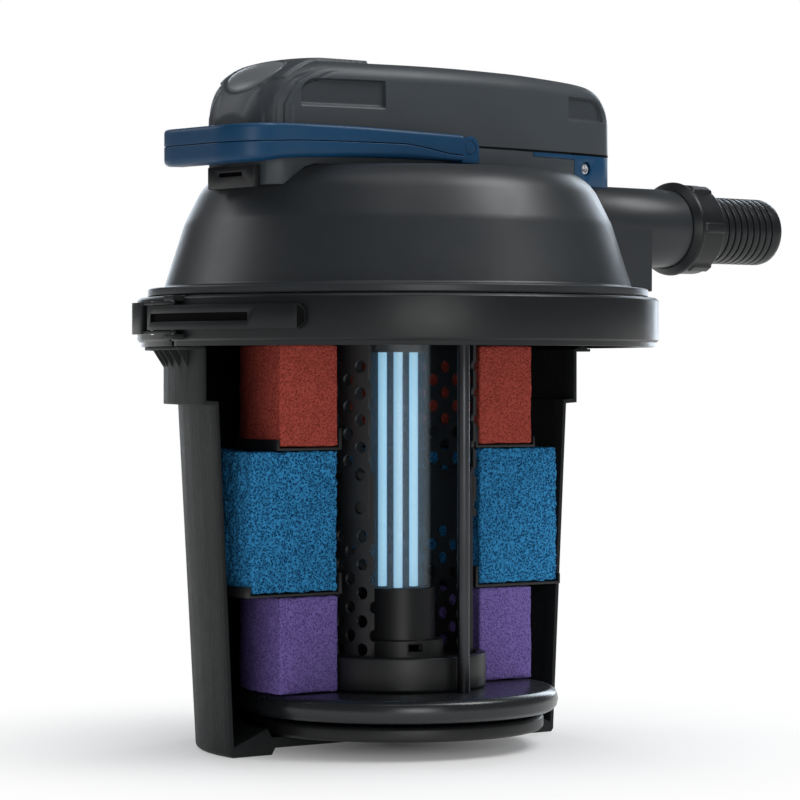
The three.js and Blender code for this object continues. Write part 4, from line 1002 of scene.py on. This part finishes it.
def studio_world():
    """A dim sky that lights the part, and plain white where the camera sees past it or through glass."""
    world = bpy.data.worlds.new("studio")
    world.use_nodes = True
    tree = world.node_tree
    tree.nodes.clear()
    sky = tree.nodes.new("ShaderNodeBackground")
    sky.inputs["Color"].default_value = (0.94, 0.97, 1.0, 1)
    sky.inputs["Strength"].default_value = 0.14
    plain_white = tree.nodes.new("ShaderNodeBackground")
    plain_white.inputs["Color"].default_value = (1, 1, 1, 1)
    plain_white.inputs["Strength"].default_value = 1.0
    rays = tree.nodes.new("ShaderNodeLightPath")
    seen = tree.nodes.new("ShaderNodeMath")
    seen.operation = "MAXIMUM"
    chosen = tree.nodes.new("ShaderNodeMixShader")
    world_out = tree.nodes.new("ShaderNodeOutputWorld")
    tree.links.new(rays.outputs["Is Camera Ray"], seen.inputs[0])
    tree.links.new(rays.outputs["Is Transmission Ray"], seen.inputs[1])
    tree.links.new(seen.outputs[0], chosen.inputs["Fac"])
    tree.links.new(sky.outputs[0], chosen.inputs[1])
    tree.links.new(plain_white.outputs[0], chosen.inputs[2])
    tree.links.new(chosen.outputs[0], world_out.inputs["Surface"])
    return world


bpy.context.scene.world = studio_world()

VIEW = math.radians(-131)                     # from the tank's axis to the camera


def around(angle_from_view, distance, height):
    """A place round the tank's axis, its angle in degrees from the camera's direction."""
    a = VIEW + math.radians(angle_from_view)
    return Vector((AXIS_X + distance * math.cos(a), distance * math.sin(a), height))


def area(name, place, target, size, power, color, height=None):
    """A rectangular light that faces its target; a size alone makes it square."""
    light = bpy.data.lights.new(name, "AREA")
    light.energy = power
    light.color = color
    light.shape = "RECTANGLE"
    light.size = size
    light.size_y = height or size
    obj = bpy.data.objects.new(name, light)
    bpy.context.scene.collection.objects.link(obj)
    obj.location = place
    obj.rotation_euler = (Vector(target) - place).to_track_quat("-Z", "Y").to_euler()


centre = (AXIS_X, 0, 0.3)
area("key", around(80, 1.35, 2.1), centre, 1.0, 30, (1.0, 1.0, 1.0))
area("top", around(20, 0.5, 2.1), centre, 1.3, 8, (0.98, 0.99, 1.0))
area("left_fill", around(-104, 1.7, 1.35), centre, 0.9, 7, (0.98, 0.99, 1.0))
area("left_rim", around(-160, 1.6, 0.6), centre, 0.4, 5, (0.8, 0.9, 1.0), 1.0)
area("right_rim", around(152, 1.6, 0.6), centre, 0.4, 7, (0.8, 0.9, 1.0), 1.0)
area("front_fill", around(14, 2.8, 0.4), (AXIS_X, 0, 0.2), 1.2, 20, (1.0, 1.0, 1.0))

PHOTO_PX = 800                                # the photograph's width in pixels
FOCAL_PX = 3280                               # its focal length in pixels, as estimated
SENSOR = 36

camera = bpy.data.cameras.new("camera")
camera.sensor_width = SENSOR
camera.lens = FOCAL_PX / PHOTO_PX * SENSOR
camera.shift_x = 2 / PHOTO_PX
camera.shift_y = -25 / PHOTO_PX
camera.clip_start, camera.clip_end = 0.1, 100
eye = bpy.data.objects.new("camera", camera)
bpy.context.scene.collection.objects.link(eye)
eye.location = around(0, 2.46, 0.277)
eye.rotation_euler = (math.radians(90), 0, VIEW + math.radians(90))
bpy.context.scene.camera = eye
bpy.context.scene.view_settings.view_transform = "Standard"
